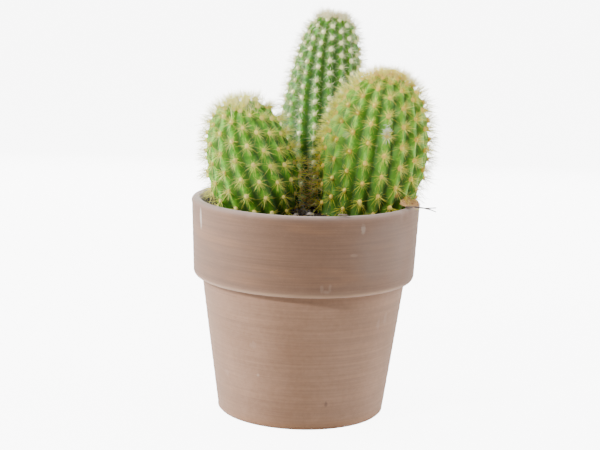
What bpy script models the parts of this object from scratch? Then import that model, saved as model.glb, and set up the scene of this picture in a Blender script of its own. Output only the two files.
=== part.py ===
"""Potted columnar cactus: a clump of three ribbed stems in a plain clay pot.

Units are metres, +Z is up and -Y is the front. Every piece is laid out round the
pot's own axis. The last step shifts them all sideways together, so that the
origin is the bottom centre of the whole plant's box, with the pot on z = 0.
"""

from dataclasses import dataclass
from math import ceil, cos, pi, radians, sin, sqrt

import bmesh
import bpy
from mathutils import Matrix, Vector

MM = 0.001
GAP = 0.3 * MM              # air kept between pieces that touch

# The pot, turned round the +Z axis.
POT_FACETS = 56
POT_HEIGHT = 113.5 * MM
RIM_RADIUS = 60.0 * MM
BAND_HEIGHT = 40.6 * MM     # the thick collar round the top of the pot
BAND_FOOT_RADIUS = 58.4 * MM
BODY_TOP_RADIUS = 54.0 * MM
BODY_FOOT_RADIUS = 44.1 * MM
RIM_WALL = 5.0 * MM
FOOT_WALL = 6.0 * MM
FLOOR_THICKNESS = 8.0 * MM
DRAIN_RADIUS = 9.0 * MM
LIP_ROUND = 2.0 * MM
BAND_ROUND = 2.6 * MM
FOOT_BEVEL = 1.0 * MM
FLOOR_ROUND = 6.0 * MM

# The potting soil, which fills the pot to a little below its rim.
SOIL_EDGE_LEVEL = 103.5 * MM
SOIL_MOUND = 4.5 * MM       # how much higher the soil stands in the middle
SOIL_RIPPLE = 0.5 * MM

# The stems.
FACETS_PER_RIB = 4
STEM_BASE_LEVEL = 105.0 * MM
ROOT_DEPTH = 14.0 * MM      # how far a stem goes on below its base
SHAFT_RINGS = 7
CROWN_SHARE = 0.34          # part of the stem's radius that the crown wool covers
DOME_STEPS = (0.93, 0.80, 0.62, 0.42, 0.22)
ROOT_STEPS = (0.35, 0.70, 0.93)
SOCKET_TOP_SHARE = 0.30     # how far up the stem its socket's cutter reaches


@dataclass(frozen=True)
class Stem:
    """One ribbed stem, standing on a slightly bowed, leaning axis.

    base and apex are points on the axis, bow is how far its middle strays from
    the straight line between them, and the radius is measured on the rib crests.
    """

    name: str
    base: tuple[float, float]
    apex: tuple[float, float, float]
    bow: tuple[float, float]
    radius: float
    base_share: float       # radius at the soil, as a share of the full radius
    swell_reach: float      # share of the height over which the foot swells
    taper: float            # radius lost between the swell and the shoulder
    dome_power: float       # higher keeps the shaft full further up
    dome_blunt: float       # higher gives a flatter top
    ribs: int
    rib_depth: float
    front_angle: float      # where the front rib stands at the apex, in degrees
    twist: float            # turn of the ribs from the apex to the base, in degrees
    crown_height: float     # how far the wool stands above the growing point

    def axis(self, share: float) -> Vector:
        """Return the point on the axis at a share of the way from base to apex."""
        base = Vector((self.base[0], self.base[1], STEM_BASE_LEVEL))
        apex = Vector(self.apex)
        middle = (base + apex) / 2 + Vector((self.bow[0], self.bow[1], 0))
        if share < 0:
            return base + (middle - base) * (2 * share)
        rest = 1 - share
        return base * rest ** 2 + middle * (2 * share * rest) + apex * share ** 2

    def height(self) -> float:
        """Return the straight length from the base to the apex."""
        return (self.axis(1) - self.axis(0)).length

    def crest_radius(self, share: float) -> float:
        """Return the radius on the rib crests at a share of the height."""
        if share < 0:
            depth = min(-share * self.height() / ROOT_DEPTH, 1)
            return self.radius * self.base_share * sqrt(1 - depth ** 2)
        swell = sin(pi / 2 * min(share / self.swell_reach, 1))
        foot = self.base_share + (1 - self.base_share) * swell
        above = max(share - self.swell_reach, 0) / (1 - self.swell_reach)
        dome = (1 - share ** self.dome_power) ** (1 / self.dome_blunt)
        return self.radius * foot * (1 - self.taper * above) * dome

    def across(self, share: float) -> tuple[Vector, Vector, Vector]:
        """Return the axis direction, the side and the back of the stem there."""
        step = 0.001
        along = (self.axis(min(share + step, 1)) - self.axis(share - step)).normalized()
        side = (Vector((1, 0, 0)) - along * along.x).normalized()
        return along, side, along.cross(side)

    def outward(self, share: float) -> tuple[float, float]:
        """Return the skin's outward direction as its radial and axial parts."""
        step = 0.002
        low = max(share - step, 0.0) if share >= 0 else share - step
        high = min(share + step, 1.0)
        fall = self.crest_radius(low) - self.crest_radius(high)
        rise = (high - low) * self.height()
        size = sqrt(rise ** 2 + fall ** 2)
        return rise / size, fall / size

    def ring(self, share: float, swell: float) -> list[Vector]:
        """Return one ring of skin points, pushed out from the skin by swell."""
        along, side, back = self.across(share)
        radial, axial = self.outward(share)
        crest = self.crest_radius(share)
        fullness = min(crest / self.radius, 1)
        fade = 1 if share >= 0 else max(1 + share * self.height() / (ROOT_DEPTH / 2), 0)
        groove = self.rib_depth * fullness * fade
        covered = max(1 - fullness / CROWN_SHARE, 0) if share > self.swell_reach else 0
        wool = self.crown_height * sqrt(covered)
        start = radians(self.front_angle) + radians(self.twist) * (1 - max(share, 0))
        centre = self.axis(share)
        points = []
        for index in range(self.ribs * FACETS_PER_RIB):
            turn = start + 2 * pi * index / (self.ribs * FACETS_PER_RIB)
            hollow = 1 - abs(cos(pi * index / FACETS_PER_RIB)) ** 1.2
            inset = swell - groove * hollow
            away = side * sin(turn) - back * cos(turn)
            lift = along * (axial * inset + wool)
            points.append(centre + away * (crest + radial * inset) + lift)
        return points

    def dome_share(self, radius_share: float) -> float:
        """Return the height share at which the dome has that share of its radius."""
        return (1 - radius_share ** self.dome_blunt) ** (1 / self.dome_power)

    def shares(self) -> list[float]:
        """Return the heights of the rings from the root end to the apex."""
        root = ROOT_DEPTH / self.height()
        shoulder = self.dome_share(DOME_STEPS[0])
        below = [-root * step for step in reversed(ROOT_STEPS)]
        shaft = [shoulder * index / SHAFT_RINGS for index in range(SHAFT_RINGS)]
        return below + shaft + [self.dome_share(step) for step in DOME_STEPS]


STEMS = (
    Stem("stem_left", (-20.4 * MM, -5.0 * MM), (-34.5 * MM, -23.5 * MM, 163.7 * MM),
         (-3.4 * MM, -1.9 * MM), 23.1 * MM, 0.75, 0.39, 0.12, 3.7, 2.95,
         17, 4.2 * MM, -19.5, 20.7, 2.0 * MM),
    Stem("stem_tall", (4.4 * MM, 30.0 * MM), (12.9 * MM, 48.0 * MM, 205.6 * MM),
         (-2.5 * MM, 8.0 * MM), 23.2 * MM, 0.73, 0.30, 0.30, 4.8, 4.45,
         18, 3.2 * MM, -4.0, 25.0, 2.0 * MM),
    Stem("stem_right", (27.3 * MM, -5.4 * MM), (41.8 * MM, 3.0 * MM, 177.4 * MM),
         (2.2 * MM, -3.0 * MM), 28.1 * MM, 0.77, 0.52, 0.02, 3.3, 2.5,
         19, 4.8 * MM, 1.2, 11.8, 2.2 * MM),
)

# Grit stones on the soil: x, y and length, in millimetres.
GRIT = (
    (-1.4, -14.8, 5.2), (-4.8, -21.0, 3.6), (2.6, -19.6, 3.8), (0.2, 2.0, 5.4),
    (-13.0, -40.0, 4.6), (9.0, -36.5, 5.2), (27.0, -39.5, 4.0), (-33.0, -34.0, 3.8),
    (-39.0, 25.0, 5.0), (-25.0, 37.5, 4.2), (33.5, 33.0, 5.4), (-20.0, 19.5, 4.4),
)
FLAKE_PLACE = Vector((18.6 * MM, -55.6 * MM, POT_HEIGHT + 0.95 * MM))
HUSK_PLACE = Vector((54.4 * MM, -21.6 * MM, POT_HEIGHT + 1.4 * MM))
TWIG_RADIUS = 0.45 * MM


def clear_scene() -> None:
    """Remove every object that is already in the file."""
    for item in list(bpy.data.objects):
        bpy.data.objects.remove(item, do_unlink=True)


def finish(name: str, colour: tuple[float, float, float], roughness: float) -> bpy.types.Material:
    """Return a plain material for one kind of surface."""
    material = bpy.data.materials.new(name)
    material.use_nodes = True
    shader = material.node_tree.nodes["Principled BSDF"]
    shader.inputs["Base Color"].default_value = (*colour, 1)
    shader.inputs["Roughness"].default_value = roughness
    shader.inputs["Metallic"].default_value = 0
    return material


def add_piece(name: str, shape: bmesh.types.BMesh, material: bpy.types.Material | None) -> bpy.types.Object:
    """Turn a finished shape into a smooth-shaded object; with no material it is a cutter."""
    mesh = bpy.data.meshes.new(name)
    shape.to_mesh(mesh)
    shape.free()
    mesh.shade_smooth()
    mesh.set_sharp_from_angle(angle=radians(40))
    piece = bpy.data.objects.new(name, mesh)
    bpy.context.scene.collection.objects.link(piece)
    if material is None:
        piece.hide_render = True
        piece.display_type = "WIRE"
    else:
        mesh.materials.append(material)
    return piece


def cut(piece: bpy.types.Object, cutter: bpy.types.Object, operation: str = "DIFFERENCE") -> None:
    """Cut one object with another, or join them into one body."""
    modifier = piece.modifiers.new(cutter.name, "BOOLEAN")
    modifier.operation = operation
    modifier.solver = "EXACT"
    modifier.object = cutter


def lathe(profile: list[tuple[float, float]]) -> bmesh.types.BMesh:
    """Turn a closed outline of (radius, height) points round +Z."""
    shape = bmesh.new()
    corners = [shape.verts.new((radius, 0, height)) for radius, height in profile]
    edges = [shape.edges.new((corners[i - 1], corners[i])) for i in range(len(corners))]
    bmesh.ops.spin(shape, geom=corners + edges, cent=(0, 0, 0), axis=(0, 0, 1),
                   angle=2 * pi, steps=POT_FACETS, use_merge=True)
    bmesh.ops.remove_doubles(shape, verts=shape.verts, dist=0.01 * MM)
    bmesh.ops.recalc_face_normals(shape, faces=shape.faces)
    return shape


def skin_over(rings: list[list[Vector]], first: Vector, last: Vector) -> bmesh.types.BMesh:
    """Join rings of points into one closed skin that ends in a point at each end.

    Each ring runs anticlockwise as seen from the last end, so the skin faces outwards.
    """
    shape = bmesh.new()
    loops = [[shape.verts.new(point) for point in ring] for ring in rings]
    count = len(loops[0])
    for lower, upper in zip(loops, loops[1:]):
        for i in range(count):
            j = (i + 1) % count
            shape.faces.new((lower[i], lower[j], upper[j], upper[i]))
    for loop, tip, step in ((loops[0], first, -1), (loops[-1], last, 1)):
        end = shape.verts.new(tip)
        for i in range(count):
            shape.faces.new((loop[i], loop[(i + step) % count], end))
    return shape


def arc(centre: tuple[float, float], radius: float, start: float, stop: float) -> list[tuple[float, float]]:
    """Return four points along an arc in the turned outline, in degrees."""
    steps = 3
    angles = [radians(start + (stop - start) * i / steps) for i in range(steps + 1)]
    return [(centre[0] + radius * cos(a), centre[1] + radius * sin(a)) for a in angles]


def inner_radius(height: float) -> float:
    """Return the radius of the pot's inner wall at a height."""
    share = (height - FLOOR_THICKNESS) / (POT_HEIGHT - FLOOR_THICKNESS)
    foot = BODY_FOOT_RADIUS - FOOT_WALL
    return foot + (RIM_RADIUS - RIM_WALL - foot) * share


def pot_outline() -> list[tuple[float, float]]:
    """Return the pot's wall in section, from the foot up the outside and down the inside."""
    band_foot = POT_HEIGHT - BAND_HEIGHT
    lip_level = POT_HEIGHT - LIP_ROUND
    foot = [(BODY_FOOT_RADIUS - FOOT_BEVEL, 0), (BODY_FOOT_RADIUS, FOOT_BEVEL)]
    band = [(BODY_TOP_RADIUS, band_foot)]
    band += arc((BAND_FOOT_RADIUS - BAND_ROUND, band_foot + BAND_ROUND), BAND_ROUND, -90, 0)
    lip = arc((RIM_RADIUS - LIP_ROUND, lip_level), LIP_ROUND, 0, 90)
    lip += arc((RIM_RADIUS - RIM_WALL + LIP_ROUND, lip_level), LIP_ROUND, 90, 180)
    corner = inner_radius(FLOOR_THICKNESS + FLOOR_ROUND) - FLOOR_ROUND
    floor = arc((corner, FLOOR_THICKNESS + FLOOR_ROUND), FLOOR_ROUND, 0, -90)
    drain = [(DRAIN_RADIUS, FLOOR_THICKNESS), (DRAIN_RADIUS, 0)]
    return foot + band + lip + floor + drain


def make_pot() -> bpy.types.Object:
    """Make the fired clay pot with its collar, rounded lip and drain hole."""
    return add_piece("clay_pot", lathe(pot_outline()), finish("clay", (0.33, 0.24, 0.18), 0.9))


def soil_height(x: float, y: float) -> float:
    """Return the height of the soil's surface at a place."""
    share = min((x ** 2 + y ** 2) / inner_radius(SOIL_EDGE_LEVEL) ** 2, 1)
    ripple = SOIL_RIPPLE * sin(x / (5 * MM)) * sin(y / (6 * MM)) * (1 - share)
    return SOIL_EDGE_LEVEL + SOIL_MOUND * (1 - share) + ripple


def circle(radius: float, height: float) -> list[Vector]:
    """Return one level ring of points with the pot's own number of facets."""
    turns = [2 * pi * i / POT_FACETS for i in range(POT_FACETS)]
    return [Vector((radius * cos(a), radius * sin(a), height)) for a in turns]


def make_soil(cutters: list[bpy.types.Object]) -> bpy.types.Object:
    """Make the root ball: soil that fits the pot, with a place for all that stands in it."""
    corner_level = FLOOR_THICKNESS + FLOOR_ROUND
    corner = inner_radius(corner_level) - FLOOR_ROUND
    edge = inner_radius(SOIL_EDGE_LEVEL) - GAP
    rings = [circle(corner, FLOOR_THICKNESS + GAP)]
    rings.append(circle(inner_radius(corner_level) - FLOOR_ROUND / 2, FLOOR_THICKNESS + FLOOR_ROUND / 2))
    rings.append(circle(inner_radius(corner_level) - GAP, corner_level))
    rings.append(circle(edge, SOIL_EDGE_LEVEL))
    for share in (0.8, 0.55, 0.28):
        flat = circle(edge * share, 0)
        rings.append([Vector((p.x, p.y, soil_height(p.x, p.y))) for p in flat])
    bottom = Vector((0, 0, FLOOR_THICKNESS + GAP))
    top = Vector((0, 0, soil_height(0, 0)))
    shape = skin_over(rings, bottom, top)
    soil = add_piece("potting_soil", shape, finish("soil", (0.035, 0.022, 0.014), 1.0))
    for cutter in cutters:
        cut(soil, cutter)
    return soil


def make_stem(stem: Stem, flesh: bpy.types.Material) -> bpy.types.Object:
    """Make one stem from its rounded root end to the wool on its crown."""
    rings = [stem.ring(share, 0) for share in stem.shares()]
    along = stem.across(1)[0]
    root_end = stem.axis(-ROOT_DEPTH / stem.height())
    tip = stem.axis(1) + along * stem.crown_height
    return add_piece(stem.name, skin_over(rings, root_end, tip), flesh)


def make_socket(stem: Stem) -> bpy.types.Object:
    """Make the cutter for a stem's place in the soil, a little wider than the stem."""
    shares = [share for share in stem.shares() if share < SOCKET_TOP_SHARE]
    rings = [stem.ring(share, 3 * GAP) for share in shares]
    root_end = stem.axis(-(ROOT_DEPTH + 4 * GAP) / stem.height())
    top = stem.axis(shares[-1])
    return add_piece(stem.name + "_socket", skin_over(rings, root_end, top), None)


def pebble(half_sizes: Vector, turn: float, seed: int, swell: float = 0) -> bmesh.types.BMesh:
    """Return a lumpy stone shape; swell makes it that much bigger all over."""
    shape = bmesh.new()
    bmesh.ops.create_icosphere(shape, subdivisions=2, radius=1)
    turned = Matrix.Rotation(turn, 3, "Z")
    for vert in shape.verts:
        lump = 1 + 0.13 * sin(2.6 * vert.co.x + seed) * cos(2.2 * vert.co.y - 1.7 * seed)
        lump += 0.07 * sin(3.4 * vert.co.z + 2.3 * seed)
        sized = Vector(vert.co[i] * (lump * half_sizes[i] + swell) for i in range(3))
        vert.co = turned @ sized
    return shape


def make_stone(name: str, place: Vector, half_sizes: Vector, turn: float, seed: int,
               material: bpy.types.Material) -> tuple[bpy.types.Object, bpy.types.Object]:
    """Make a stone and the cutter for the dimple that it lies in."""
    stone = add_piece(name, pebble(half_sizes, turn, seed), material)
    dimple = add_piece(name + "_dimple", pebble(half_sizes, turn, seed, 1.5 * GAP), None)
    stone.location = place
    dimple.location = place
    return stone, dimple


def make_grit(material: bpy.types.Material) -> list[bpy.types.Object]:
    """Make the grit stones, half sunk in the soil, and return their dimples' cutters."""
    dimples = []
    for number, (x, y, length) in enumerate(GRIT, start=1):
        half = length / 2 * MM
        sizes = Vector((half, half * (0.72 + 0.05 * (number % 3)), half * (0.62 + 0.06 * (number % 4))))
        place = Vector((x * MM, y * MM, soil_height(x * MM, y * MM) + 0.25 * sizes.z))
        dimples.append(make_stone(f"grit_stone_{number:02d}", place, sizes, 0.9 * number, number, material)[1])
    return dimples


def make_flake(material: bpy.types.Material) -> bpy.types.Object:
    """Make the thin flake of stone that lies on the rim of the pot."""
    flake = add_piece("stone_flake", pebble(Vector((2.6, 1.3, 0.5)) * MM, radians(12), 4), material)
    flake.location = FLAKE_PLACE
    return flake


def make_husk() -> bpy.types.Object:
    """Make the curled, dried flower husk that lies on the rim beside a stem."""
    shape = bmesh.new()
    columns, rows = 6, 5
    length, width = 9.0 * MM, 5.0 * MM
    grid = []
    for i in range(columns):
        along = i / (columns - 1) * 2 - 1
        waist = sqrt(1 - 0.8 * along ** 2)
        line = []
        for j in range(rows):
            side = (j / (rows - 1) * 2 - 1) * waist
            sag = 1.4 * MM * (side ** 2 + 0.6 * along ** 2)
            line.append(shape.verts.new((along * length / 2, side * width / 2, sag)))
        grid.append(line)
    for i in range(columns - 1):
        for j in range(rows - 1):
            shape.faces.new((grid[i][j], grid[i + 1][j], grid[i + 1][j + 1], grid[i][j + 1]))
    husk = add_piece("dried_husk", shape, finish("husk", (0.42, 0.22, 0.09), 0.8))
    husk.location = HUSK_PLACE
    husk.rotation_euler = (radians(14), radians(4), radians(-14))
    shell = husk.modifiers.new("thickness", "SOLIDIFY")
    shell.thickness = 0.7 * MM
    shell.offset = 0
    return husk


def tube(path: list[Vector], radius: float) -> bmesh.types.BMesh:
    """Return a thin closed stalk that follows a path of points."""
    sides = 6
    rings = []
    for i, point in enumerate(path):
        ahead = path[min(i + 1, len(path) - 1)]
        behind = path[max(i - 1, 0)]
        along = (ahead - behind).normalized()
        side = along.cross(Vector((0, 0, 1))).normalized()
        up = along.cross(side)
        turns = [2 * pi * k / sides for k in range(sides)]
        rings.append([point + (side * cos(a) + up * sin(a)) * radius for a in turns])
    start = path[0] + (path[0] - path[1]).normalized() * radius
    end = path[-1] + (path[-1] - path[-2]).normalized() * radius
    return skin_over(rings, start, end)


def bowed_path(start: Vector, stop: Vector, rise: float, spacing: float) -> list[Vector]:
    """Return points along a gently bowed line, rise high in its middle."""
    steps = ceil((stop - start).length / spacing)
    shares = [i / steps for i in range(steps + 1)]
    return [start.lerp(stop, t) + Vector((0, 0, rise * sin(pi * t))) for t in shares]


def make_twig() -> bpy.types.Object:
    """Make the dead, forked twig that lies across the rim and points outwards."""
    rim_level = POT_HEIGHT + TWIG_RADIUS + GAP
    start = Vector((50.6 * MM, -27.0 * MM, rim_level + 0.2 * MM))
    fork = Vector((61.2 * MM, -26.5 * MM, rim_level - 0.2 * MM))
    upper_tip = Vector((66.6 * MM, -27.0 * MM, rim_level + 0.3 * MM))
    lower_tip = Vector((66.4 * MM, -28.6 * MM, rim_level - 1.4 * MM))
    wood = finish("dead_wood", (0.19, 0.16, 0.14), 0.95)
    main = bowed_path(start, fork, 0.25 * MM, 2 * MM) + bowed_path(fork, upper_tip, 0, 2 * MM)[1:]
    twig = add_piece("dead_twig", tube(main, TWIG_RADIUS), wood)
    branch = tube(bowed_path(fork - Vector((0.4 * MM, 0, 0)), lower_tip, 0, 2 * MM), 0.8 * TWIG_RADIUS)
    cut(twig, add_piece("twig_fork", branch, None), "UNION")
    return twig


def centre_on_origin(pieces: list[bpy.types.Object]) -> None:
    """Shift all the objects sideways so that the whole plant's box is centred on z."""
    bpy.context.view_layer.update()
    depsgraph = bpy.context.evaluated_depsgraph_get()
    corners = []
    for piece in pieces:
        solid = piece.evaluated_get(depsgraph)
        corners += [solid.matrix_world @ vert.co for vert in solid.data.vertices]
    shift = Vector((0, 0, 0))
    for side in (0, 1):
        values = [corner[side] for corner in corners]
        shift[side] = -(min(values) + max(values)) / 2
    for item in bpy.context.scene.objects:
        item.location += shift


def main() -> None:
    """Make every piece of the potted plant."""
    clear_scene()
    flesh = finish("stem_flesh", (0.13, 0.26, 0.04), 0.6)
    stone = finish("grit", (0.42, 0.39, 0.36), 0.9)
    pieces = [make_pot()]
    pieces += [make_stem(stem, flesh) for stem in STEMS]
    dimples = make_grit(stone)
    make_soil([make_socket(stem) for stem in STEMS] + dimples)
    pieces += [make_flake(stone), make_husk(), make_twig()]
    centre_on_origin(pieces)


main()
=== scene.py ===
"""Potted columnar cactus: three ribbed, spiny stems in a plain clay pot.

Sizes are in millimetres round the pot's own upright axis, with -Y the front.
They are turned into metres in the shared frame when a mesh is written.
"""
import logging
from dataclasses import dataclass, field
from enum import Enum
from math import cos, pi, radians, sin, sqrt
from typing import Callable

import bpy
import numpy as np
from mathutils import Euler, Matrix, Vector


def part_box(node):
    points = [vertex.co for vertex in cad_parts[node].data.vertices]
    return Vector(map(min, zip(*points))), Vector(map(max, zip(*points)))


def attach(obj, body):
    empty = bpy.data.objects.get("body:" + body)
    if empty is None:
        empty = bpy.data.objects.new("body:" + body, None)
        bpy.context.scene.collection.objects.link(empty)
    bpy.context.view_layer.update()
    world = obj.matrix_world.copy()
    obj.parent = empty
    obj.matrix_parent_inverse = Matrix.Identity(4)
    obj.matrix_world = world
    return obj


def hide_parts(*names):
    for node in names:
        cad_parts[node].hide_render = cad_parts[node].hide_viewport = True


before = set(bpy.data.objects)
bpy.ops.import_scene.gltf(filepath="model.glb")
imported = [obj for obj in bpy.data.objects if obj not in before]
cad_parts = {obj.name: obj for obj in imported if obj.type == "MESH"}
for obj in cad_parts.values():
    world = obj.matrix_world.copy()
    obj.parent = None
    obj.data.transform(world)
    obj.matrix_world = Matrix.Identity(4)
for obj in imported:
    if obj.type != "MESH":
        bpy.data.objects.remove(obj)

log = logging.getLogger("potted_cactus")

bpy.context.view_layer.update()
POT_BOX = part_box("clay_pot")
AXIS = np.array([(POT_BOX[0].x + POT_BOX[1].x) / 2, (POT_BOX[0].y + POT_BOX[1].y) / 2, 0.0])

MM = 0.001
# The widest gap, in metres, that is sewn up.
WELD = 2e-6
# Grid points that are worked on at a time.
CHUNK = 4000
# The share of a stem's height over which its slopes are measured.
STEP = 0.002
# How far up a spine its knee is, and how much that thickens it there.
KNEE = 0.64
KNEE_WIDTH = 2.3
# The UV map that holds the variety and the length of spines and other sprigs.
STRIP = "OFBake"

Array = np.ndarray
Piece = bpy.types.Object
Node = bpy.types.Node
Tree = bpy.types.NodeTree
Socket = bpy.types.NodeSocket
Material = bpy.types.Material
Colour = tuple[float, float, float]
Point = tuple[float, float, float]
Pair = tuple[float, float]
Laid = tuple[Array, dict[str, Array]]


class Slot(Enum):
    """The places whose finish can be changed on the whole plant."""

    CLAY = "clay"
    SOIL = "soil"
    STEM = "stem"
    GRIT = "grit"
    HUSK = "husk"
    DEAD_WOOD = "dead_wood"


# ---------------------------------------------------------------- shaping tools


def leave_everything() -> None:
    """Leaves edit mode and selects nothing."""
    active = bpy.context.view_layer.objects.active
    if active is not None and active.mode != "OBJECT":
        bpy.ops.object.mode_set(mode="OBJECT")
    bpy.ops.object.select_all(action="DESELECT")


def take_up(piece: Piece) -> None:
    """Selects one piece alone and makes it the active one.

    Args:
        piece: The object to select.
    """
    leave_everything()
    piece.select_set(True)
    bpy.context.view_layer.objects.active = piece


def read_points(piece: Piece) -> Array:
    """Gives a piece's vertices as an array of three columns.

    Args:
        piece: The mesh object.

    Returns:
        The vertices, in the mesh's own frame.
    """
    found = np.empty(len(piece.data.vertices) * 3)
    piece.data.vertices.foreach_get("co", found)
    return found.reshape(-1, 3)


def write_points(piece: Piece, points: Array) -> None:
    """Moves a piece's vertices to these places."""
    piece.data.vertices.foreach_set("co", np.ascontiguousarray(points, dtype=np.float32).ravel())
    piece.data.update()


def to_frame(points: Array) -> Array:
    """Turns millimetres round the pot's axis into metres in the shared frame."""
    return points * MM + AXIS


def from_frame(points: Array) -> Array:
    """Turns metres in the shared frame into millimetres round the pot's axis."""
    return (points - AXIS) / MM


def store_mark(piece: Piece, name: str, values: Array) -> None:
    """Keeps one number for each vertex, for a finish to read.

    Args:
        piece: The mesh object.
        name: What the number is called.
        values: One value for each vertex.
    """
    mark = piece.data.attributes.new(name, "FLOAT", "POINT")
    mark.data.foreach_set("value", np.ascontiguousarray(values, dtype=np.float32))


def unit(vectors: Array) -> Array:
    """Gives vectors of length one in the same directions."""
    return vectors / np.maximum(np.linalg.norm(vectors, axis=-1, keepdims=True), 1e-12)


def apply_all(piece: Piece) -> None:
    """Applies a piece's modifiers, from first to last.

    Args:
        piece: The mesh object with its modifiers.
    """
    take_up(piece)
    for modifier in list(piece.modifiers):
        bpy.ops.object.modifier_apply(modifier=modifier.name)


def sew() -> None:
    """Closes the seams of the piece in hand, turns its faces outward and makes it smooth."""
    bpy.ops.mesh.select_all(action="SELECT")
    bpy.ops.mesh.remove_doubles(threshold=WELD)
    bpy.ops.mesh.normals_make_consistent(inside=False)
    bpy.ops.object.mode_set(mode="OBJECT")
    bpy.ops.object.shade_smooth()


def wrap_sheet(name: str, columns: int, rows: int, lay: Callable[[Array, Array], Laid]) -> Piece:
    """Makes a closed skin from a flat grid that is wrapped round and sewn up.

    Args:
        name: The piece's name.
        columns: Faces round the piece.
        rows: Faces along it.
        lay: Gives each grid point's place, in millimetres, and its marks.

    Returns:
        The smooth piece, with its seam and poles closed and its faces outward.
    """
    leave_everything()
    bpy.ops.mesh.primitive_grid_add(x_subdivisions=columns, y_subdivisions=rows, size=2)
    piece = bpy.context.object
    piece.name = name
    flat = read_points(piece)
    points, marks = lay((flat[:, 0] + 1) / 2, (flat[:, 1] + 1) / 2)
    write_points(piece, to_frame(points))
    for mark, values in marks.items():
        store_mark(piece, mark, values)
    while piece.data.uv_layers:
        piece.data.uv_layers.remove(piece.data.uv_layers[0])
    bpy.ops.object.mode_set(mode="EDIT")
    sew()
    return piece


@dataclass
class Sprig:
    """A small shape that is modelled once and set out many times in one mesh.

    The shape stands on its root with its length along +Z from 0 to 1, and its
    width is measured from that line.
    """

    corners: Array
    faces: Array

    @classmethod
    def taken_from(cls, piece: Piece) -> "Sprig":
        """Reads the shape from a modelled piece, in triangles, and removes the piece.

        Args:
            piece: The modelled mesh object.

        Returns:
            The shape, ready to be copied.
        """
        take_up(piece)
        bpy.ops.object.mode_set(mode="EDIT")
        bpy.ops.mesh.select_all(action="SELECT")
        bpy.ops.mesh.normals_make_consistent(inside=False)
        bpy.ops.mesh.quads_convert_to_tris()
        bpy.ops.object.mode_set(mode="OBJECT")
        corners = read_points(piece)
        faces = np.array([tuple(face.vertices) for face in piece.data.polygons])
        bpy.data.objects.remove(piece, do_unlink=True)
        return cls(corners, faces)

    def set_out(self, name: str, roots: Array, ways: Array, lengths: Array,
                widths: Array, bends: Array, variety: Array,
                across: Array | None = None, flatness: float = 1.0) -> Piece:
        """Copies the shape to many places as one mesh.

        Args:
            name: The new piece's name.
            roots: Where each copy stands, in millimetres.
            ways: The direction in which each copy points.
            lengths: Each copy's length, in millimetres.
            widths: Each copy's half width at its root, in millimetres.
            bends: How far each copy's tip strays, in millimetres.
            variety: A number from 0 to 1 that tells the copies apart.
            across: The direction of each copy's width, or none for any.
            flatness: Thickness of the copies as a share of their width.

        Returns:
            The piece, with a UV map of variety across and length along.
        """
        along = unit(ways)
        if across is None:
            steep = np.abs(along[:, 2:3]) >= 0.8
            across = np.cross(along, np.where(steep, [[1.0, 0.0, 0.0]], [[0.0, 0.0, 1.0]]))
        side = unit(across - along * np.sum(across * along, axis=1, keepdims=True))
        other = np.cross(along, side)
        x, y, s = (self.corners[:, i] for i in range(3))
        reach = s[None, :, None]
        points = roots[:, None] + along[:, None] * (lengths[:, None, None] * reach)
        points = points + bends[:, None] * reach ** 2
        wide = widths[:, None, None]
        points = points + side[:, None] * (wide * x[None, :, None])
        points = points + other[:, None] * (wide * flatness * y[None, :, None])
        count = len(self.corners)
        starts = np.arange(len(roots)) * count
        faces = (self.faces[None] + starts[:, None, None]).reshape(-1, 3)
        mesh = bpy.data.meshes.new(name)
        mesh.from_pydata(to_frame(points.reshape(-1, 3)).tolist(), [], faces.tolist())
        piece = bpy.data.objects.new(name, mesh)
        bpy.context.scene.collection.objects.link(piece)
        turn = np.arctan2(y, x)
        width = (variety[:, None] * 0.94 + 0.03 + 0.02 * np.cos(turn)[None]).reshape(-1)
        length = np.tile(np.clip(s, 0, 1) * 0.98 + 0.01, len(roots))
        corners = faces.reshape(-1)
        strip = np.stack([width[corners], length[corners]], 1).astype(np.float32)
        mesh.uv_layers.new(name=STRIP).data.foreach_set("uv", strip.ravel())
        take_up(piece)
        bpy.ops.object.shade_smooth()
        return piece


def make_spine_shape() -> Sprig:
    """Models one thin spine: three sides, a knee in its upper half, and a point.

    Returns:
        The shape of a spine.
    """
    leave_everything()
    bpy.ops.mesh.primitive_cone_add(vertices=3, radius1=1, radius2=0, depth=1, location=(0, 0, 0.5))
    spine = bpy.context.object
    bpy.ops.object.mode_set(mode="EDIT")
    bpy.ops.mesh.select_all(action="SELECT")
    bpy.ops.mesh.bisect(plane_co=(0, 0, KNEE), plane_no=(0, 0, 1))
    bpy.ops.object.mode_set(mode="OBJECT")
    bpy.ops.object.transform_apply(location=True, rotation=True, scale=True)
    points = read_points(spine)
    knee = np.abs(points[:, 2] - KNEE) < 0.01
    points[knee, :2] *= KNEE_WIDTH
    write_points(spine, points)
    return Sprig.taken_from(spine)


def make_pad_shape() -> Sprig:
    """Models one wool cushion: a low dome with its rim tucked under.

    Returns:
        The shape of a cushion.
    """
    leave_everything()
    bpy.ops.mesh.primitive_uv_sphere_add(segments=8, ring_count=6, radius=1, location=(0, 0, 0))
    pad = bpy.context.object
    points = read_points(pad)
    points[:, 2] *= np.where(points[:, 2] > 0, 1.0, 0.35)
    write_points(pad, points)
    return Sprig.taken_from(pad)


def make_crumb_shape() -> Sprig:
    """Models one crumb of soil: a rough ball of twenty faces.

    Returns:
        The shape of a crumb.
    """
    leave_everything()
    bpy.ops.mesh.primitive_ico_sphere_add(subdivisions=1, radius=1, location=(0, 0, 0))
    crumb = bpy.context.object
    rng = np.random.default_rng(5)
    points = read_points(crumb)
    write_points(crumb, points * rng.uniform(0.72, 1.18, (len(points), 1)))
    return Sprig.taken_from(crumb)


# ---------------------------------------------------------------- finishes


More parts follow.
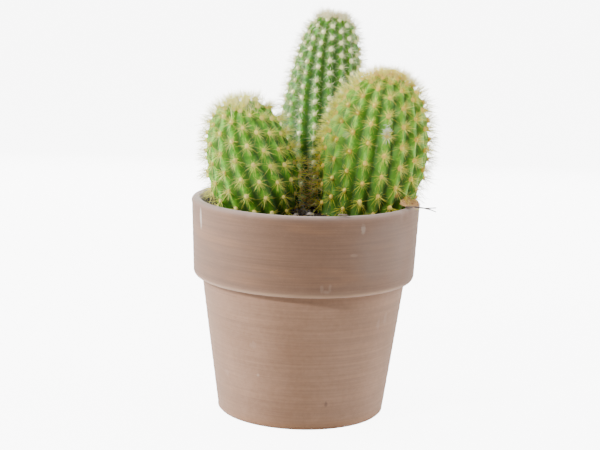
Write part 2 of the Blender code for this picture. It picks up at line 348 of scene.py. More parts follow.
class Recipe:
    """Writes a node tree in short calls."""

    def __init__(self, tree: Tree) -> None:
        """Starts on an empty or a new tree."""
        self.tree = tree

    def node(self, kind: str, values: dict | None = None, **settings: object) -> Node:
        """Adds one node.

        Args:
            kind: The node's type.
            values: A value or another node's output for each input, by name or number.
            settings: The node's own settings.

        Returns:
            The new node.
        """
        made = self.tree.nodes.new(kind)
        for name, value in settings.items():
            setattr(made, name, value)
        self.fill(made, values or {})
        return made

    def fill(self, node: Node, values: dict) -> None:
        """Sets a node's inputs to values or joins them to other nodes' outputs.

        Args:
            node: The node whose inputs are set.
            values: A value or another node's output for each input, by name or number.
        """
        for socket, value in values.items():
            if isinstance(value, Socket):
                self.tree.links.new(value, node.inputs[socket])
            else:
                node.inputs[socket].default_value = value

    def place(self) -> Socket:
        """Gives the place on the piece, in metres."""
        return self.node("ShaderNodeTexCoord").outputs["Object"]

    def mark(self, name: str) -> Socket:
        """Gives a number kept on the mesh."""
        return self.node("ShaderNodeAttribute", attribute_name=name).outputs["Fac"]

    def sums(self, operation: str, first: object, second: object = 0.0) -> Socket:
        """Gives the result of one sum."""
        return self.node("ShaderNodeMath", {0: first, 1: second}, operation=operation).outputs[0]

    def noise(self, where: object, scale: object, detail: float = 2.0,
              roughness: float = 0.5) -> Socket:
        """Gives a soft random pattern, from 0 to 1."""
        values = {"Vector": where, "Scale": scale, "Detail": detail, "Roughness": roughness}
        return self.node("ShaderNodeTexNoise", values).outputs["Fac"]

    def stretched(self, where: object, scale: Point) -> Socket:
        """Gives the place measured with another scale along each axis."""
        return self.node("ShaderNodeMapping", {"Vector": where, "Scale": scale}).outputs[0]

    def remap(self, value: object, low: object, high: object, bottom: float = 0.0,
              top: float = 1.0) -> Socket:
        """Turns low to high into bottom to top, and goes no further.

        Args:
            value: The number to turn.
            low: Where the number's range starts.
            high: Where the number's range ends.
            bottom: What low becomes.
            top: What high becomes.

        Returns:
            The turned number.
        """
        values = {"Value": value, "From Min": low, "From Max": high, "To Min": bottom,
                  "To Max": top}
        made = self.node("ShaderNodeMapRange", values, interpolation_type="SMOOTHSTEP")
        return made.outputs["Result"]

    def blend(self, share: object, first: object, second: object) -> Socket:
        """Mixes two colours by a share from 0 to 1."""
        values = {0: share, 6: self.solid(first), 7: self.solid(second)}
        return self.node("ShaderNodeMix", values, data_type="RGBA").outputs[2]

    def cover(self, colour: object, other: Colour, mask: object, strength: float) -> Socket:
        """Lays another colour over a colour where the mask is, at most this strongly."""
        return self.blend(self.sums("MULTIPLY", mask, strength), colour, other)

    def scaled(self, colour: object, factor: object) -> Socket:
        """Makes a colour lighter or darker."""
        return self.vectors("SCALE", {0: colour, 3: factor}).outputs[0]

    def vectors(self, operation: str, values: dict) -> Node:
        """Adds a sum of vectors."""
        return self.node("ShaderNodeVectorMath", values, operation=operation)

    @staticmethod
    def solid(colour: object) -> object:
        """Gives a colour its fourth number where it has three."""
        return (*colour, 1.0) if isinstance(colour, tuple) and len(colour) == 3 else colour

    def group(self, tree: Tree, values: dict) -> Socket:
        """Adds a shared effect with these values and gives its mask."""
        return self.node("ShaderNodeGroup", values, node_tree=tree).outputs["Mask"]

    def mottle(self, effects: "SharedEffects", where: Socket, sizes: tuple[float, float],
               span: tuple[float, float]) -> Socket:
        """Gives the shared blotches, with their coarse and fine sizes and where they fade."""
        return self.group(effects.mottle, {"Place": where, "Coarse": sizes[0], "Fine": sizes[1],
                                           "Low": span[0], "High": span[1]})


def new_group(name: str, inputs: dict[str, float | None]) -> tuple[Recipe, Callable, Node]:
    """Starts a shared effect that gives a mask.

    Args:
        name: The effect's name.
        inputs: The usual value of each number, or none where the input is a vector.

    Returns:
        A recipe that writes in the effect, its inputs by name and its output node.
    """
    tree = bpy.data.node_groups.new(name, "ShaderNodeTree")
    for label, value in inputs.items():
        kind = "NodeSocketVector" if value is None else "NodeSocketFloat"
        made = tree.interface.new_socket(name=label, in_out="INPUT", socket_type=kind)
        if value is not None:
            made.default_value = value
    tree.interface.new_socket(name="Mask", in_out="OUTPUT", socket_type="NodeSocketFloat")
    source = tree.nodes.new("NodeGroupInput")
    result = tree.nodes.new("NodeGroupOutput")
    return Recipe(tree), source.outputs.__getitem__, result


@dataclass
class SharedEffects:
    """The effects that more than one finish uses."""

    mottle: Tree = field(init=False)
    spot: Tree = field(init=False)

    def __post_init__(self) -> None:
        """Builds each effect once."""
        self.mottle = self.build_mottle()
        self.spot = self.build_spot()

    @staticmethod
    def build_mottle() -> Tree:
        """Builds blotches within blotches: a coarse pattern broken up by a fine one.

        Returns:
            The effect's tree.
        """
        recipe, given, result = new_group("mottle", {"Place": None, "Coarse": 60.0, "Fine": 700.0,
                                                     "Low": 0.35, "High": 0.65})
        coarse = recipe.noise(given("Place"), given("Coarse"), 3.0, 0.6)
        fine = recipe.noise(given("Place"), given("Fine"), 2.0, 0.6)
        both = recipe.sums("ADD", recipe.sums("MULTIPLY", coarse, 0.7),
                           recipe.sums("MULTIPLY", fine, 0.3))
        recipe.fill(result, {"Mask": recipe.remap(both, given("Low"), given("High"))})
        return recipe.tree

    @staticmethod
    def build_spot() -> Tree:
        """Builds one ragged mark round a place, as long each way as its reach says.

        Returns:
            The effect's tree.
        """
        recipe, given, result = new_group("spot", {"Place": None, "Centre": None, "Reach": None,
                                                   "Ragged": 0.5, "Grain": 600.0})
        away = recipe.vectors("SUBTRACT", {0: given("Place"), 1: given("Centre")}).outputs[0]
        sized = recipe.vectors("DIVIDE", {0: away, 1: given("Reach")}).outputs[0]
        far = recipe.vectors("LENGTH", {0: sized}).outputs["Value"]
        grain = recipe.noise(given("Place"), given("Grain"))
        push = recipe.sums("MULTIPLY", recipe.sums("SUBTRACT", grain, 0.5), given("Ragged"))
        edge = recipe.sums("ADD", far, recipe.sums("MULTIPLY", push, 2.0))
        recipe.fill(result, {"Mask": recipe.remap(edge, 0.45, 1.0, 1.0, 0.0)})
        return recipe.tree


@dataclass(frozen=True)
class Mark:
    """A place on a surface that looks different, in millimetres round the pot's axis."""

    centre: Point
    reach: Point
    colour: Colour
    strength: float
    ragged: float = 0.6
    grain: float = 700.0

    def paint(self, recipe: Recipe, effects: SharedEffects, where: object,
              colour: object) -> Socket:
        """Paints the mark over a colour and gives the new colour.

        Args:
            recipe: The finish's recipe.
            effects: The effects that the finishes share.
            where: The place on the piece.
            colour: The colour so far.

        Returns:
            The colour with the mark on it.
        """
        centre = tuple(float(c) for c in to_frame(np.array(self.centre)))
        reach = tuple(r * MM for r in self.reach)
        mask = recipe.group(effects.spot, {"Place": where, "Centre": centre, "Reach": reach,
                                           "Ragged": self.ragged, "Grain": self.grain})
        return recipe.cover(colour, self.colour, mask, self.strength)


@dataclass(frozen=True)
class Finish:
    """What all finishes have: a name, a roughness and a relief."""

    name: str
    roughness: float = 0.8
    relief: float = 0.3
    relief_depth: float = 0.0003

    def begin(self) -> tuple[Material, Recipe, Node]:
        """Starts the material and gives it, its recipe and its shader.

        Returns:
            The material, the recipe that adds to it, and its shader.
        """
        material = bpy.data.materials.new(self.name)
        material.use_nodes = True
        shader = material.node_tree.nodes["Principled BSDF"]
        shader.inputs["Roughness"].default_value = self.roughness
        return material, Recipe(material.node_tree), shader

    def raise_relief(self, recipe: Recipe, shader: Node, height: object) -> None:
        """Lets a pattern of heights catch the light.

        Args:
            recipe: The finish's recipe.
            shader: The material's shader.
            height: The pattern of heights.
        """
        bump = recipe.node("ShaderNodeBump", {"Height": height, "Strength": self.relief,
                                              "Distance": self.relief_depth})
        recipe.fill(shader, {"Normal": bump.outputs["Normal"]})


@dataclass(frozen=True)
class ClayFinish(Finish):
    """Fired clay: dusty, blotched, with the throwing lines of the wheel, a painted highlight along
    the collar's lower edge and painted shade on the inner wall.
    """

    body: Colour = (0.270, 0.143, 0.079)
    dark: Colour = (0.178, 0.090, 0.047)
    pale: Colour = (0.420, 0.252, 0.168)
    warm: Colour = (0.370, 0.175, 0.075)
    # painted shade: the near-black colour of the inner wall
    painted_inner_shade: Colour = (0.030, 0.017, 0.010)
    collar: Colour = (0.110, 0.057, 0.034)
    # painted highlight: the pale colour of the collar's lower, rounded edge
    painted_hem_highlight: Colour = (0.62, 0.38, 0.24)
    lip: Colour = (0.336, 0.248, 0.22)
    marks: tuple[Mark, ...] = ()

    def make(self, effects: SharedEffects) -> Material:
        """Builds the material.

        Args:
            effects: The effects that the finishes share.

        Returns:
            The finished material.
        """
        material, recipe, shader = self.begin()
        where = recipe.place()
        blotch = recipe.mottle(effects, where, (26.0, 420.0), (0.36, 0.66))
        rings = recipe.noise(recipe.stretched(where, (4.0, 4.0, 330.0)), 1.0, 4.0, 0.65)
        smear = recipe.noise(recipe.stretched(where, (12.0, 12.0, 60.0)), 1.0, 3.0, 0.6)
        streak = recipe.noise(recipe.stretched(where, (16.0, 16.0, 900.0)), 1.0, 4.0, 0.7)
        grain = recipe.noise(where, 2400.0, 3.0, 0.7)
        # breaks the painted highlight on the collar's lower edge and the pale lip line into patches
        smear_patches = recipe.remap(smear, 0.30, 0.60, 0.45, 1.0)
        colour = recipe.cover(self.body, self.pale, blotch, 0.42)
        colour = recipe.cover(colour, self.collar, recipe.mark("band"), 0.55)
        colour = recipe.blend(recipe.remap(rings, 0.50, 0.72, 0.0, 0.22), colour, self.dark)
        colour = recipe.blend(recipe.remap(smear, 0.56, 0.74, 0.0, 0.24), colour, self.warm)
        colour = recipe.scaled(colour, recipe.remap(streak, 0.34, 0.66, 0.92, 1.08))
        colour = recipe.blend(recipe.remap(grain, 0.60, 0.76, 0.0, 0.45), colour, self.dark)
        colour = recipe.blend(recipe.remap(grain, 0.40, 0.26, 0.0, 0.35), colour, self.pale)
        # Painted highlight along the collar's lower edge, broken into patches.
        painted_hem_highlight = recipe.sums("MULTIPLY", recipe.mark("hem"), smear_patches)
        colour = recipe.cover(colour, self.painted_hem_highlight, painted_hem_highlight, 0.85)
        rim = recipe.sums("MULTIPLY", recipe.mark("lip"), smear_patches)
        colour = recipe.cover(colour, self.lip, rim, 0.6)
        foot = recipe.sums("MULTIPLY", recipe.mark("foot"),
                           recipe.remap(smear, 0.35, 0.6, 0.5, 1.0))
        colour = recipe.cover(colour, self.warm, foot, 0.8)
        # Painted shade: the inner wall below the lip is darkened almost to black.
        colour = recipe.cover(colour, self.painted_inner_shade, recipe.mark("inside"), 0.93)
        for mark in self.marks:
            colour = mark.paint(recipe, effects, where, colour)
        recipe.fill(shader, {"Base Color": colour,
                             "Roughness": recipe.remap(blotch, 0.0, 1.0, 0.80, 0.95),
                             "Sheen Weight": 0.25, "Sheen Roughness": 0.5})
        self.raise_relief(recipe, shader, recipe.sums("ADD", rings, grain))
        return material


@dataclass(frozen=True)
class SkinFinish(Finish):
    """The green skin of a stem: pale along the ribs as a painted highlight, deep green in the
    furrows as painted shade, darker near the soil from age and painted shade.
    """

    # crest is a painted highlight along the ribs; furrow is painted shade in the furrows and also
    # darkens random flecks
    crest: Colour = (0.146, 0.43, 0.016)
    flank: Colour = (0.064, 0.235, 0.012)
    furrow: Colour = (0.050, 0.135, 0.022)
    collar: Colour = (0.28, 0.46, 0.05)
    # foot: the dark green near the soil, partly the stem's age and partly painted shade
    foot: Colour = (0.036, 0.082, 0.008)
    marks: tuple[Mark, ...] = ()

    def make(self, effects: SharedEffects) -> Material:
        """Builds the material.

        Args:
            effects: The effects that the finishes share.

        Returns:
            The finished material.
        """
        material, recipe, shader = self.begin()
        where = recipe.place()
        furrow = recipe.mark("furrow")
        blotch = recipe.mottle(effects, where, (240.0, 1100.0), (0.36, 0.64))
        # Painted highlight and shade: pale on the crests, deep green in the furrows, by furrow
        # depth.
        uneven = recipe.sums("ADD", furrow, recipe.remap(blotch, 0.0, 1.0, -0.22, 0.22))
        colour = recipe.blend(recipe.remap(uneven, -0.04, 0.24), self.crest, self.flank)
        colour = recipe.blend(recipe.remap(uneven, 0.42, 0.95), colour, self.furrow)
        colour = recipe.cover(colour, self.collar, recipe.mark("collar"), 0.4)
        # Darker towards the soil: partly age, partly painted shade low on the stem.
        aged_and_shaded = recipe.remap(recipe.mark("age"), 0.55, 1.0, 0.0, 0.80)
        colour = recipe.blend(aged_and_shaded, colour, self.foot)
        fleck = recipe.noise(where, 1700.0, 2.0, 0.6)
        colour = recipe.blend(recipe.remap(fleck, 0.58, 0.74, 0.0, 0.5), colour, self.collar)
        colour = recipe.blend(recipe.remap(fleck, 0.42, 0.28, 0.0, 0.5), colour, self.furrow)
        for mark in self.marks:
            colour = mark.paint(recipe, effects, where, colour)
        recipe.fill(shader, {"Base Color": colour,
                             "Roughness": recipe.remap(blotch, 0.0, 1.0, 0.50, 0.70),
                             "Specular IOR Level": 0.3, "Subsurface Weight": 0.12,
                             "Subsurface Radius": (0.5, 1.0, 0.2), "Subsurface Scale": 0.0012})
        pores = recipe.noise(where, 2600.0, 2.0, 0.6)
        self.raise_relief(recipe, shader, recipe.sums("ADD", pores, blotch))
        return material


@dataclass(frozen=True)
class SpineFinish(Finish):
    """Thin spines or wool: one colour at the root, another at the tip, no two alike."""

    roughness: float = 0.55
    root: Colour = (0.92, 0.68, 0.06)
    tip: Colour = (1.0, 0.97, 0.13)
    odd: Colour = (0.94, 0.76, 0.06)
    change: float = 0.4

    def make(self, _effects: SharedEffects) -> Material:
        """Builds the material, which reads the strip of variety and length.

        Args:
            _effects: The shared effects, which this finish does not use.

        Returns:
            The finished material.
        """
        material, recipe, shader = self.begin()
        strip = recipe.node("ShaderNodeUVMap", uv_map=STRIP).outputs["UV"]
        parts = recipe.node("ShaderNodeSeparateXYZ", {0: strip})
        variety, length = parts.outputs[0], parts.outputs[1]
        colour = recipe.blend(recipe.remap(length, 0.0, self.change), self.root, self.tip)
        chance = recipe.noise(recipe.stretched(strip, (61.0, 2.0, 1.0)), 1.0, 1.0, 0.5)
        colour = recipe.blend(recipe.remap(chance, 0.54, 0.72, 0.0, 0.75), colour, self.odd)
        colour = recipe.scaled(colour, recipe.remap(variety, 0.0, 1.0, 0.80, 1.12))
        recipe.fill(shader, {"Base Color": colour, "Specular IOR Level": 0.35,
                             "Subsurface Weight": 0.35, "Subsurface Radius": (1.0, 0.9, 0.5),
                             "Subsurface Scale": 0.0008})
        return material


@dataclass(frozen=True)
class EarthFinish(Finish):
    """Crumbly matter with pale and dark grains: soil, stone, husk or dead wood."""

    base: Colour = (0.05, 0.032, 0.022)
    dark: Colour = (0.018, 0.011, 0.008)
    pale: Colour = (0.18, 0.14, 0.11)
    coarse: float = 160.0
    fine: float = 1500.0
    stretch: Point = (1.0, 1.0, 1.0)

    def make(self, effects: SharedEffects) -> Material:
        """Builds the material.

        Args:
            effects: The effects that the finishes share.

        Returns:
            The finished material.
        """
        material, recipe, shader = self.begin()
        where = recipe.stretched(recipe.place(), self.stretch)
        patch = recipe.mottle(effects, where, (self.coarse, self.fine), (0.32, 0.62))
        grain = recipe.noise(where, self.fine * 1.6, 3.0, 0.7)
        colour = recipe.blend(patch, self.dark, self.base)
        colour = recipe.blend(recipe.remap(grain, 0.56, 0.72, 0.0, 0.8), colour, self.pale)
        dull = recipe.remap(grain, 0.3, 0.7, self.roughness - 0.1, min(self.roughness + 0.1, 1))
        recipe.fill(shader, {"Base Color": colour, "Roughness": dull})
        self.raise_relief(recipe, shader, recipe.sums("ADD", patch, grain))
        return material


def dress(piece: Piece, material: Material, slot: Slot, *nodes: str) -> Piece:
    """Gives a piece its material and its body, and hides the CAD nodes that it stands for.

    Args:
        piece: The finished piece.
        material: Its material.
        slot: The slot whose finish the piece has; not used.
        nodes: The CAD nodes that it stands for.

    Returns:
        The same piece.
    """
    piece.data.materials.clear()
    piece.data.materials.append(material)
    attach(piece, "root")
    if nodes:
        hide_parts(*nodes)
    log.info("%s: %d faces", piece.name, len(piece.data.polygons))
    return piece


# ---------------------------------------------------------------- the pot and what fills it


@dataclass
class ClayPot:
    """The turned clay pot, with its collar, lip, floor and drain hole.

    A chip is its angle round the rim, its reach and its depth. A ring is the
    height, the pace and the start of a wave up the wall.
    """

    height: float = 113.5
    rim_radius: float = 60.0
    band_height: float = 41.4
    band_foot_radius: float = 58.4
    body_top_radius: float = 54.0
    body_foot_radius: float = 44.1
    rim_wall: float = 5.0
    foot_wall: float = 6.0
    floor_thickness: float = 8.0
    drain_radius: float = 9.0
    lip_round: float = 2.0
    band_round: float = 2.6
    foot_bevel: float = 1.0
    floor_round: float = 6.0
    turns: int = 192
    spacing: float = 1.5
    chips: tuple[Point, ...] = ((56.0, 1.3, 0.55), (70.0, 1.0, 0.4), (-28.0, 1.1, 0.3))
    rings: tuple[Point, ...] = ((0.03, 1.7, 0.0), (0.03, 0.9, 1.0), (0.02, 3.1, 2.0))
    least_wall: float = 2.4

    def inner_radius(self, level: float | Array) -> float | Array:
        """Gives the radius of the inner wall at a level.

        Args:
            level: The height above the foot, in millimetres.

        Returns:
            The radius in millimetres.
        """
        share = (level - self.floor_thickness) / (self.height - self.floor_thickness)
        foot = self.body_foot_radius - self.foot_wall
        return foot + (self.rim_radius - self.rim_wall - foot) * share

    @staticmethod
    def arc(centre: Pair, radius: float, start: float, stop: float) -> list[Pair]:
        """Gives the points along an arc of the outline, in degrees."""
        turns = [radians(start + (stop - start) * i / 6) for i in range(7)]
        return [(centre[0] + radius * cos(a), centre[1] + radius * sin(a)) for a in turns]

    def outline(self) -> Array:
        """Gives the wall in section, from the foot up the outside and down the inside.

        Returns:
            The outline's radius and level at each point, in millimetres.
        """
        band_foot = self.height - self.band_height
        lip = self.height - self.lip_round
        path = [(self.body_foot_radius - self.foot_bevel, 0.0),
                (self.body_foot_radius, self.foot_bevel),
                (self.body_top_radius - 0.25, band_foot - 0.5),
                (self.body_top_radius + 0.3, band_foot)]
        path += self.arc((self.band_foot_radius - self.band_round, band_foot + self.band_round),
                         self.band_round, -90, 0)
        path += self.arc((self.rim_radius - self.lip_round, lip), self.lip_round, 0, 90)
        inside = self.rim_radius - self.rim_wall
        path += self.arc((inside + self.lip_round, lip), self.lip_round, 90, 180)
        bend = self.floor_thickness + self.floor_round
        corner = self.inner_radius(bend) - self.floor_round
        path += self.arc((corner, bend), self.floor_round, 0, -90)
        path += [(self.drain_radius, self.floor_thickness), (self.drain_radius, 0.0)]
        fine = []
        for (r0, z0), (r1, z1) in zip(path, path[1:] + path[:1]):
            steps = max(int(sqrt((r1 - r0) ** 2 + (z1 - z0) ** 2) / self.spacing), 1)
            fine += [(r0 + (r1 - r0) * i / steps, z0 + (z1 - z0) * i / steps) for i in range(steps)]
        return np.array(fine)

    def turn(self) -> Piece:
        """Spins the wall's outline once round the pot's axis.

        Returns:
            The pot, still perfectly round.
        """
        outline = self.outline()
        leave_everything()
        bpy.ops.mesh.primitive_circle_add(vertices=len(outline), radius=1, fill_type="NOTHING")
        pot = bpy.context.object
        pot.name = "thrown_pot"
        points = np.stack([outline[:, 0], np.zeros(len(outline)), outline[:, 1]], 1)
        write_points(pot, to_frame(points))
        bpy.ops.object.mode_set(mode="EDIT")
        bpy.ops.mesh.select_all(action="SELECT")
        bpy.ops.mesh.spin(steps=self.turns, angle=2 * pi, center=tuple(AXIS), axis=(0, 0, 1))
        sew()
        return pot

    def weather(self, pot: Piece) -> None:
        """Gives the thrown wall its unevenness, its chips and the marks of its edges, among them
        where the painted highlight on the collar's lower edge and the painted shade inside go.

        Args:
            pot: The turned pot, whose vertices are moved.
        """
        points = from_frame(read_points(pot))
        radius = np.hypot(points[:, 0], points[:, 1])
        level = points[:, 2]
        angle = np.degrees(np.arctan2(points[:, 0], -points[:, 1]))
        inner = self.inner_radius(level)
        below = self.height - level
        wall = inner + self.least_wall < radius
        outside = (radius > self.inner_radius(0) + 3) & (level > 1.5) & (level < self.height - 2.5)
        ring = sum(high * np.sin(level * pace + start) for high, pace, start in self.rings)
        oval = 0.12 * np.sin(np.radians(angle) * 2 + 1)
        oval += 0.08 * np.sin(np.radians(angle) * 5 + level * 0.05)
        push = np.where(wall & outside, ring + oval, 0)
        for place, reach, depth in self.chips:
            along = np.radians(angle - place) * self.rim_radius
            away = np.hypot(along, (radius - self.rim_radius + 0.6) * 0.8)
            near = np.exp(-(away / reach) ** 2) * (level > self.height - 4)
            points[:, 2] -= depth * near
            push = push - depth * near * 0.8
        points[:, :2] *= ((radius + push) / np.maximum(radius, 1e-6))[:, None]
        write_points(pot, to_frame(points))
        hem = level - (self.height - self.band_height)
        lip = np.exp(-(below / 1.4) ** 2) * (radius > self.rim_radius - self.rim_wall)
        # hem: where the painted highlight on the collar's lower edge goes
        band = np.exp(-((hem - 0.7) / 1.3) ** 2) * (radius > self.body_top_radius + 1)
        # inside: where the painted shade on the inner wall goes, fading in below the lip
        inside = (radius < inner + 0.8) & (level > self.floor_thickness - 1) & (below > 1.5)
        marks = {"lip": np.clip(lip, 0, 1), "hem": np.clip(band, 0, 1),
                 "band": np.clip(hem / 1.5, 0, 1) * wall,
                 "foot": np.exp(-(level / 2.6) ** 2) * (radius > self.drain_radius + 5),
                 "inside": inside * np.clip((below - 1.0) / 2.5, 0, 1)}
        for name, values in marks.items():
            store_mark(pot, name, values)

    def build(self) -> Piece:
        """Makes the whole pot.

        Returns:
            The pot with its marks.
        """
        pot = self.turn()
        self.weather(pot)
        return pot


LIME = (0.70, 0.61, 0.54)
BLOOM = (0.48, 0.34, 0.27)
CLAY_MARKS = (
    Mark((40, -42, 95), (24, 24, 22), (0.22, 0.155, 0.125), 0.32, 0.3, 60.0),
    Mark((-53.3, -26.8, 105.6), (1.5, 1.5, 7.0), LIME, 0.50, 0.3, 900.0),
    Mark((28.8, -52.7, 107.0), (1.5, 1.5, 2.8), LIME, 0.14),
    Mark((25.0, -54.2, 94.0), (2.8, 2.8, 1.1), BLOOM, 0.12),
    Mark((9.2, -57.9, 77.4), (1.0, 1.5, 2.8), BLOOM, 0.13),
    Mark((13.2, -57.1, 77.8), (1.0, 1.5, 2.6), BLOOM, 0.13),
    Mark((11.2, -57.4, 75.8), (2.8, 1.5, 1.0), BLOOM, 0.14),
    Mark((13.3, -44.4, 14.5), (1.1, 1.5, 2.4), (0.05, 0.03, 0.02), 0.42),
    Mark((-21.7, -42.5, 28.2), (0.9, 0.9, 0.9), LIME, 0.16),
    Mark((-24.5, -44.0, 44.0), (3.0, 3.0, 2.6), BLOOM, 0.12),
    Mark((-37.5, -27.0, 25.0), (3.0, 3.0, 2.2), BLOOM, 0.14),
    Mark((42.5, -29.6, 56.5), (1.7, 1.7, 4.5), BLOOM, 0.15),
    Mark((39.0, -34.0, 54.0), (1.7, 1.7, 4.0), BLOOM, 0.14),
    Mark((-48.0, 14.0, 60.0), (6.0, 5.0, 7.0), BLOOM, 0.20),
    Mark((20.0, 46.0, 52.0), (5.0, 5.0, 8.0), BLOOM, 0.20),
    Mark((-22.0, 55.0, 96.0), (2.0, 2.0, 6.0), LIME, 0.25),
    Mark((30.0, 33.0, 20.0), (1.4, 1.4, 2.4), (0.04, 0.025, 0.016), 0.6),
)


@dataclass(frozen=True)
class Litter:
    """Loose matter on the soil: how much lies about, how far from the wall, and its heap."""

    name: str
    seed: int
    loose: int
    inset: float
    heap: int = 0
    heap_place: Pair = (0.0, 0.0)
    heap_spread: float = 0.0

    def scatter(self, rng: np.random.Generator, edge: float) -> tuple[Array, Array, Array]:
        """Chooses the places.

        Args:
            rng: The source of chance.
            edge: The radius of the soil's edge, in millimetres.

        Returns:
            The places across and back, and which of them are in the heap.
        """
        radius = (edge - self.inset) * np.sqrt(rng.uniform(0, 1, self.loose))
        turn = rng.uniform(0, 2 * pi, self.loose)
        near = rng.normal(size=(self.heap, 2)) * self.heap_spread + np.array(self.heap_place)
        x = np.concatenate([radius * np.cos(turn), near[:, 0]])
        y = np.concatenate([radius * np.sin(turn), near[:, 1]])
        return x, y, np.arange(len(x)) >= self.loose


@dataclass(frozen=True)
class Lumps(Litter):
    """Crumbs or grit: how they vary in size, how far they stand out and how high they pile."""

    growth: float = 0.9
    rarity: float = 2.5
    rise: float = 0.25
    pile: float = 0.0


CRUMBS = Lumps("soil_crumbs", 31, 1500, 1.6)
GRIT = Lumps("loose_grit", 33, 50, 2.5, 100, (-4.0, -15.0), 2.6,
             growth=0.75, rarity=1.5, rise=0.3, pile=2.2)
NEEDLES = Litter("fallen_spines", 32, 200, 5.0, 330, (0.6, -11.5), 3.3)


@dataclass
class PottingSoil:
    """The root ball that fills the pot, its crumbly top and the litter on it."""

    pot: ClayPot
    edge_level: float = 103.5
    mound: float = 4.5
    ripple: float = 0.5
    gap: float = 0.3
    corner_round: float = 6.0
    top_end: float = 0.84
    wall_end: float = 0.97

    def edge(self) -> float:
        """Gives the radius of the pot's inner wall at the edge of the soil."""
        return self.pot.inner_radius(self.edge_level)

    def level(self, x: Array, y: Array) -> Array:
        """Gives the level of the soil's surface at each place.

        Args:
            x: Places across the pot, in millimetres.
            y: Places from front to back, in millimetres.

        Returns:
            The levels in millimetres.
        """
        share = np.minimum((x ** 2 + y ** 2) / self.edge() ** 2, 1)
        ripple = self.ripple * np.sin(x / 5) * np.sin(y / 6) * (1 - share)
        return self.edge_level + self.mound * (1 - share) + ripple

    def lay(self, u: Array, v: Array) -> Laid:
        """Places the grid: v runs from the middle of the top over the edge to the bottom.

        Args:
            u: The share of the way round, from 0 to 1.
            v: The share of the way along, from 0 to 1.

        Returns:
            Each point in millimetres, and the marks to store with it.
        """
        edge = self.edge() - self.gap
        top = np.clip(v / self.top_end, 0, 1)
        down = np.clip((v - self.top_end) / (self.wall_end - self.top_end), 0, 1)
        under = np.clip((v - self.wall_end) / (1 - self.wall_end), 0, 1)
        floor = self.pot.floor_thickness + self.gap
        corner = self.pot.inner_radius(floor + self.corner_round) - self.corner_round
        radius = edge * top + (corner - edge) * down - corner * under
        turn = 2 * pi * u
        x, y = radius * np.cos(turn), radius * np.sin(turn)
        rough = 0.35 * np.sin(x * 2.1 + np.sin(y * 1.7)) * np.sin(y * 1.9 + 2 * np.sin(x * 0.8))
        rough += 0.22 * np.sin(x * 4.3 + y * 3.1) * np.sin(y * 4.9 - x * 2.2)
        rough *= (v < self.top_end - 0.02) * np.minimum(top * 8, 1)
        z = np.where(v <= self.top_end, self.level(x, y) + rough, self.edge_level)
        z = z + (floor - self.edge_level) * down
        return np.stack([x, y, z], 1), {}

    def build_ball(self) -> Piece:
        """Makes the root ball with its rough top."""
        return wrap_sheet("root_ball", 200, 110, self.lay)

    def build_lumps(self, shape: Sprig, lumps: Lumps) -> Piece:
        """Scatters crumbs or grit over the soil, each turned its own way.

        Args:
            shape: The shape that is copied.
            lumps: How many lumps, how large and how they lie.

        Returns:
            All the lumps as one piece.
        """
        rng = np.random.default_rng(lumps.seed)
        x, y, heaped = lumps.scatter(rng, self.edge())
        count = len(x)
        size = 0.35 + lumps.growth * rng.uniform(0, 1, count) ** lumps.rarity
        height = self.level(x, y) + size * lumps.rise
        if lumps.pile:
            height = height + rng.uniform(0.1, 1.0, count) ** 2 * np.where(heaped, lumps.pile, 0.0)
        ways = unit(rng.normal(size=(count, 3)))
        return shape.set_out(lumps.name, np.stack([x, y, height], 1), ways,
                             size * rng.uniform(0.7, 1.2, count), size, np.zeros((count, 3)),
                             rng.uniform(0, 1, count))

    def build_needles(self, shape: Sprig) -> Piece:
        """Drops old spines and root threads on the soil and between the front stems.

        Args:
            shape: The shape that is copied.

        Returns:
            All the fallen spines as one piece.
        """
        rng = np.random.default_rng(NEEDLES.seed)
        x, y, piled = NEEDLES.scatter(rng, self.edge())
        count = len(x)
        lift = rng.uniform(0.5, 1.2, count)
        lift = lift + piled * (2.0 + 24.0 * rng.uniform(0, 1, count) ** 1.4)
        roots = np.stack([x, y, self.level(x, y) + lift], 1)
        way = rng.uniform(0, 2 * pi, count)
        steep = np.where(piled, rng.uniform(-0.5, 0.8, count), rng.uniform(-0.05, 0.15, count))
        ways = np.stack([np.cos(way), np.sin(way), steep], 1)
        bends = rng.normal(size=(count, 3)) * 0.7
        return shape.set_out(NEEDLES.name, roots, ways, rng.uniform(3, 7, count),
                             rng.uniform(0.09, 0.16, count), bends, rng.uniform(0, 1, count))


# ---------------------------------------------------------------- the stems


@dataclass(frozen=True)
class SpineKind:
    """One kind of spine on every pad, with its lengths in millimetres and its lift in degrees."""

    count: int
    length: float
    thickness: float
    low: float
    high: float
    spread: float = 0.75
    droop: float = 0.35
    low_loss: float = 0.0


@dataclass(frozen=True)
class Tuft:
    """Young spines on a growing point: how many, how long and how far out, in millimetres."""

    count: int
    length: float
    reach: float
    thickness: float = 0.06
    stray: float = 0.30


@dataclass(frozen=True)
class SpineCoat:
    """How a stem's wool and spines grow, in millimetres."""

    kinds: tuple[SpineKind, ...]
    pad_width: float
    pad_length: float
    pad_height: float
    fringe: Tuft
    tuft: Tuft
    wool_hairs: int = 8


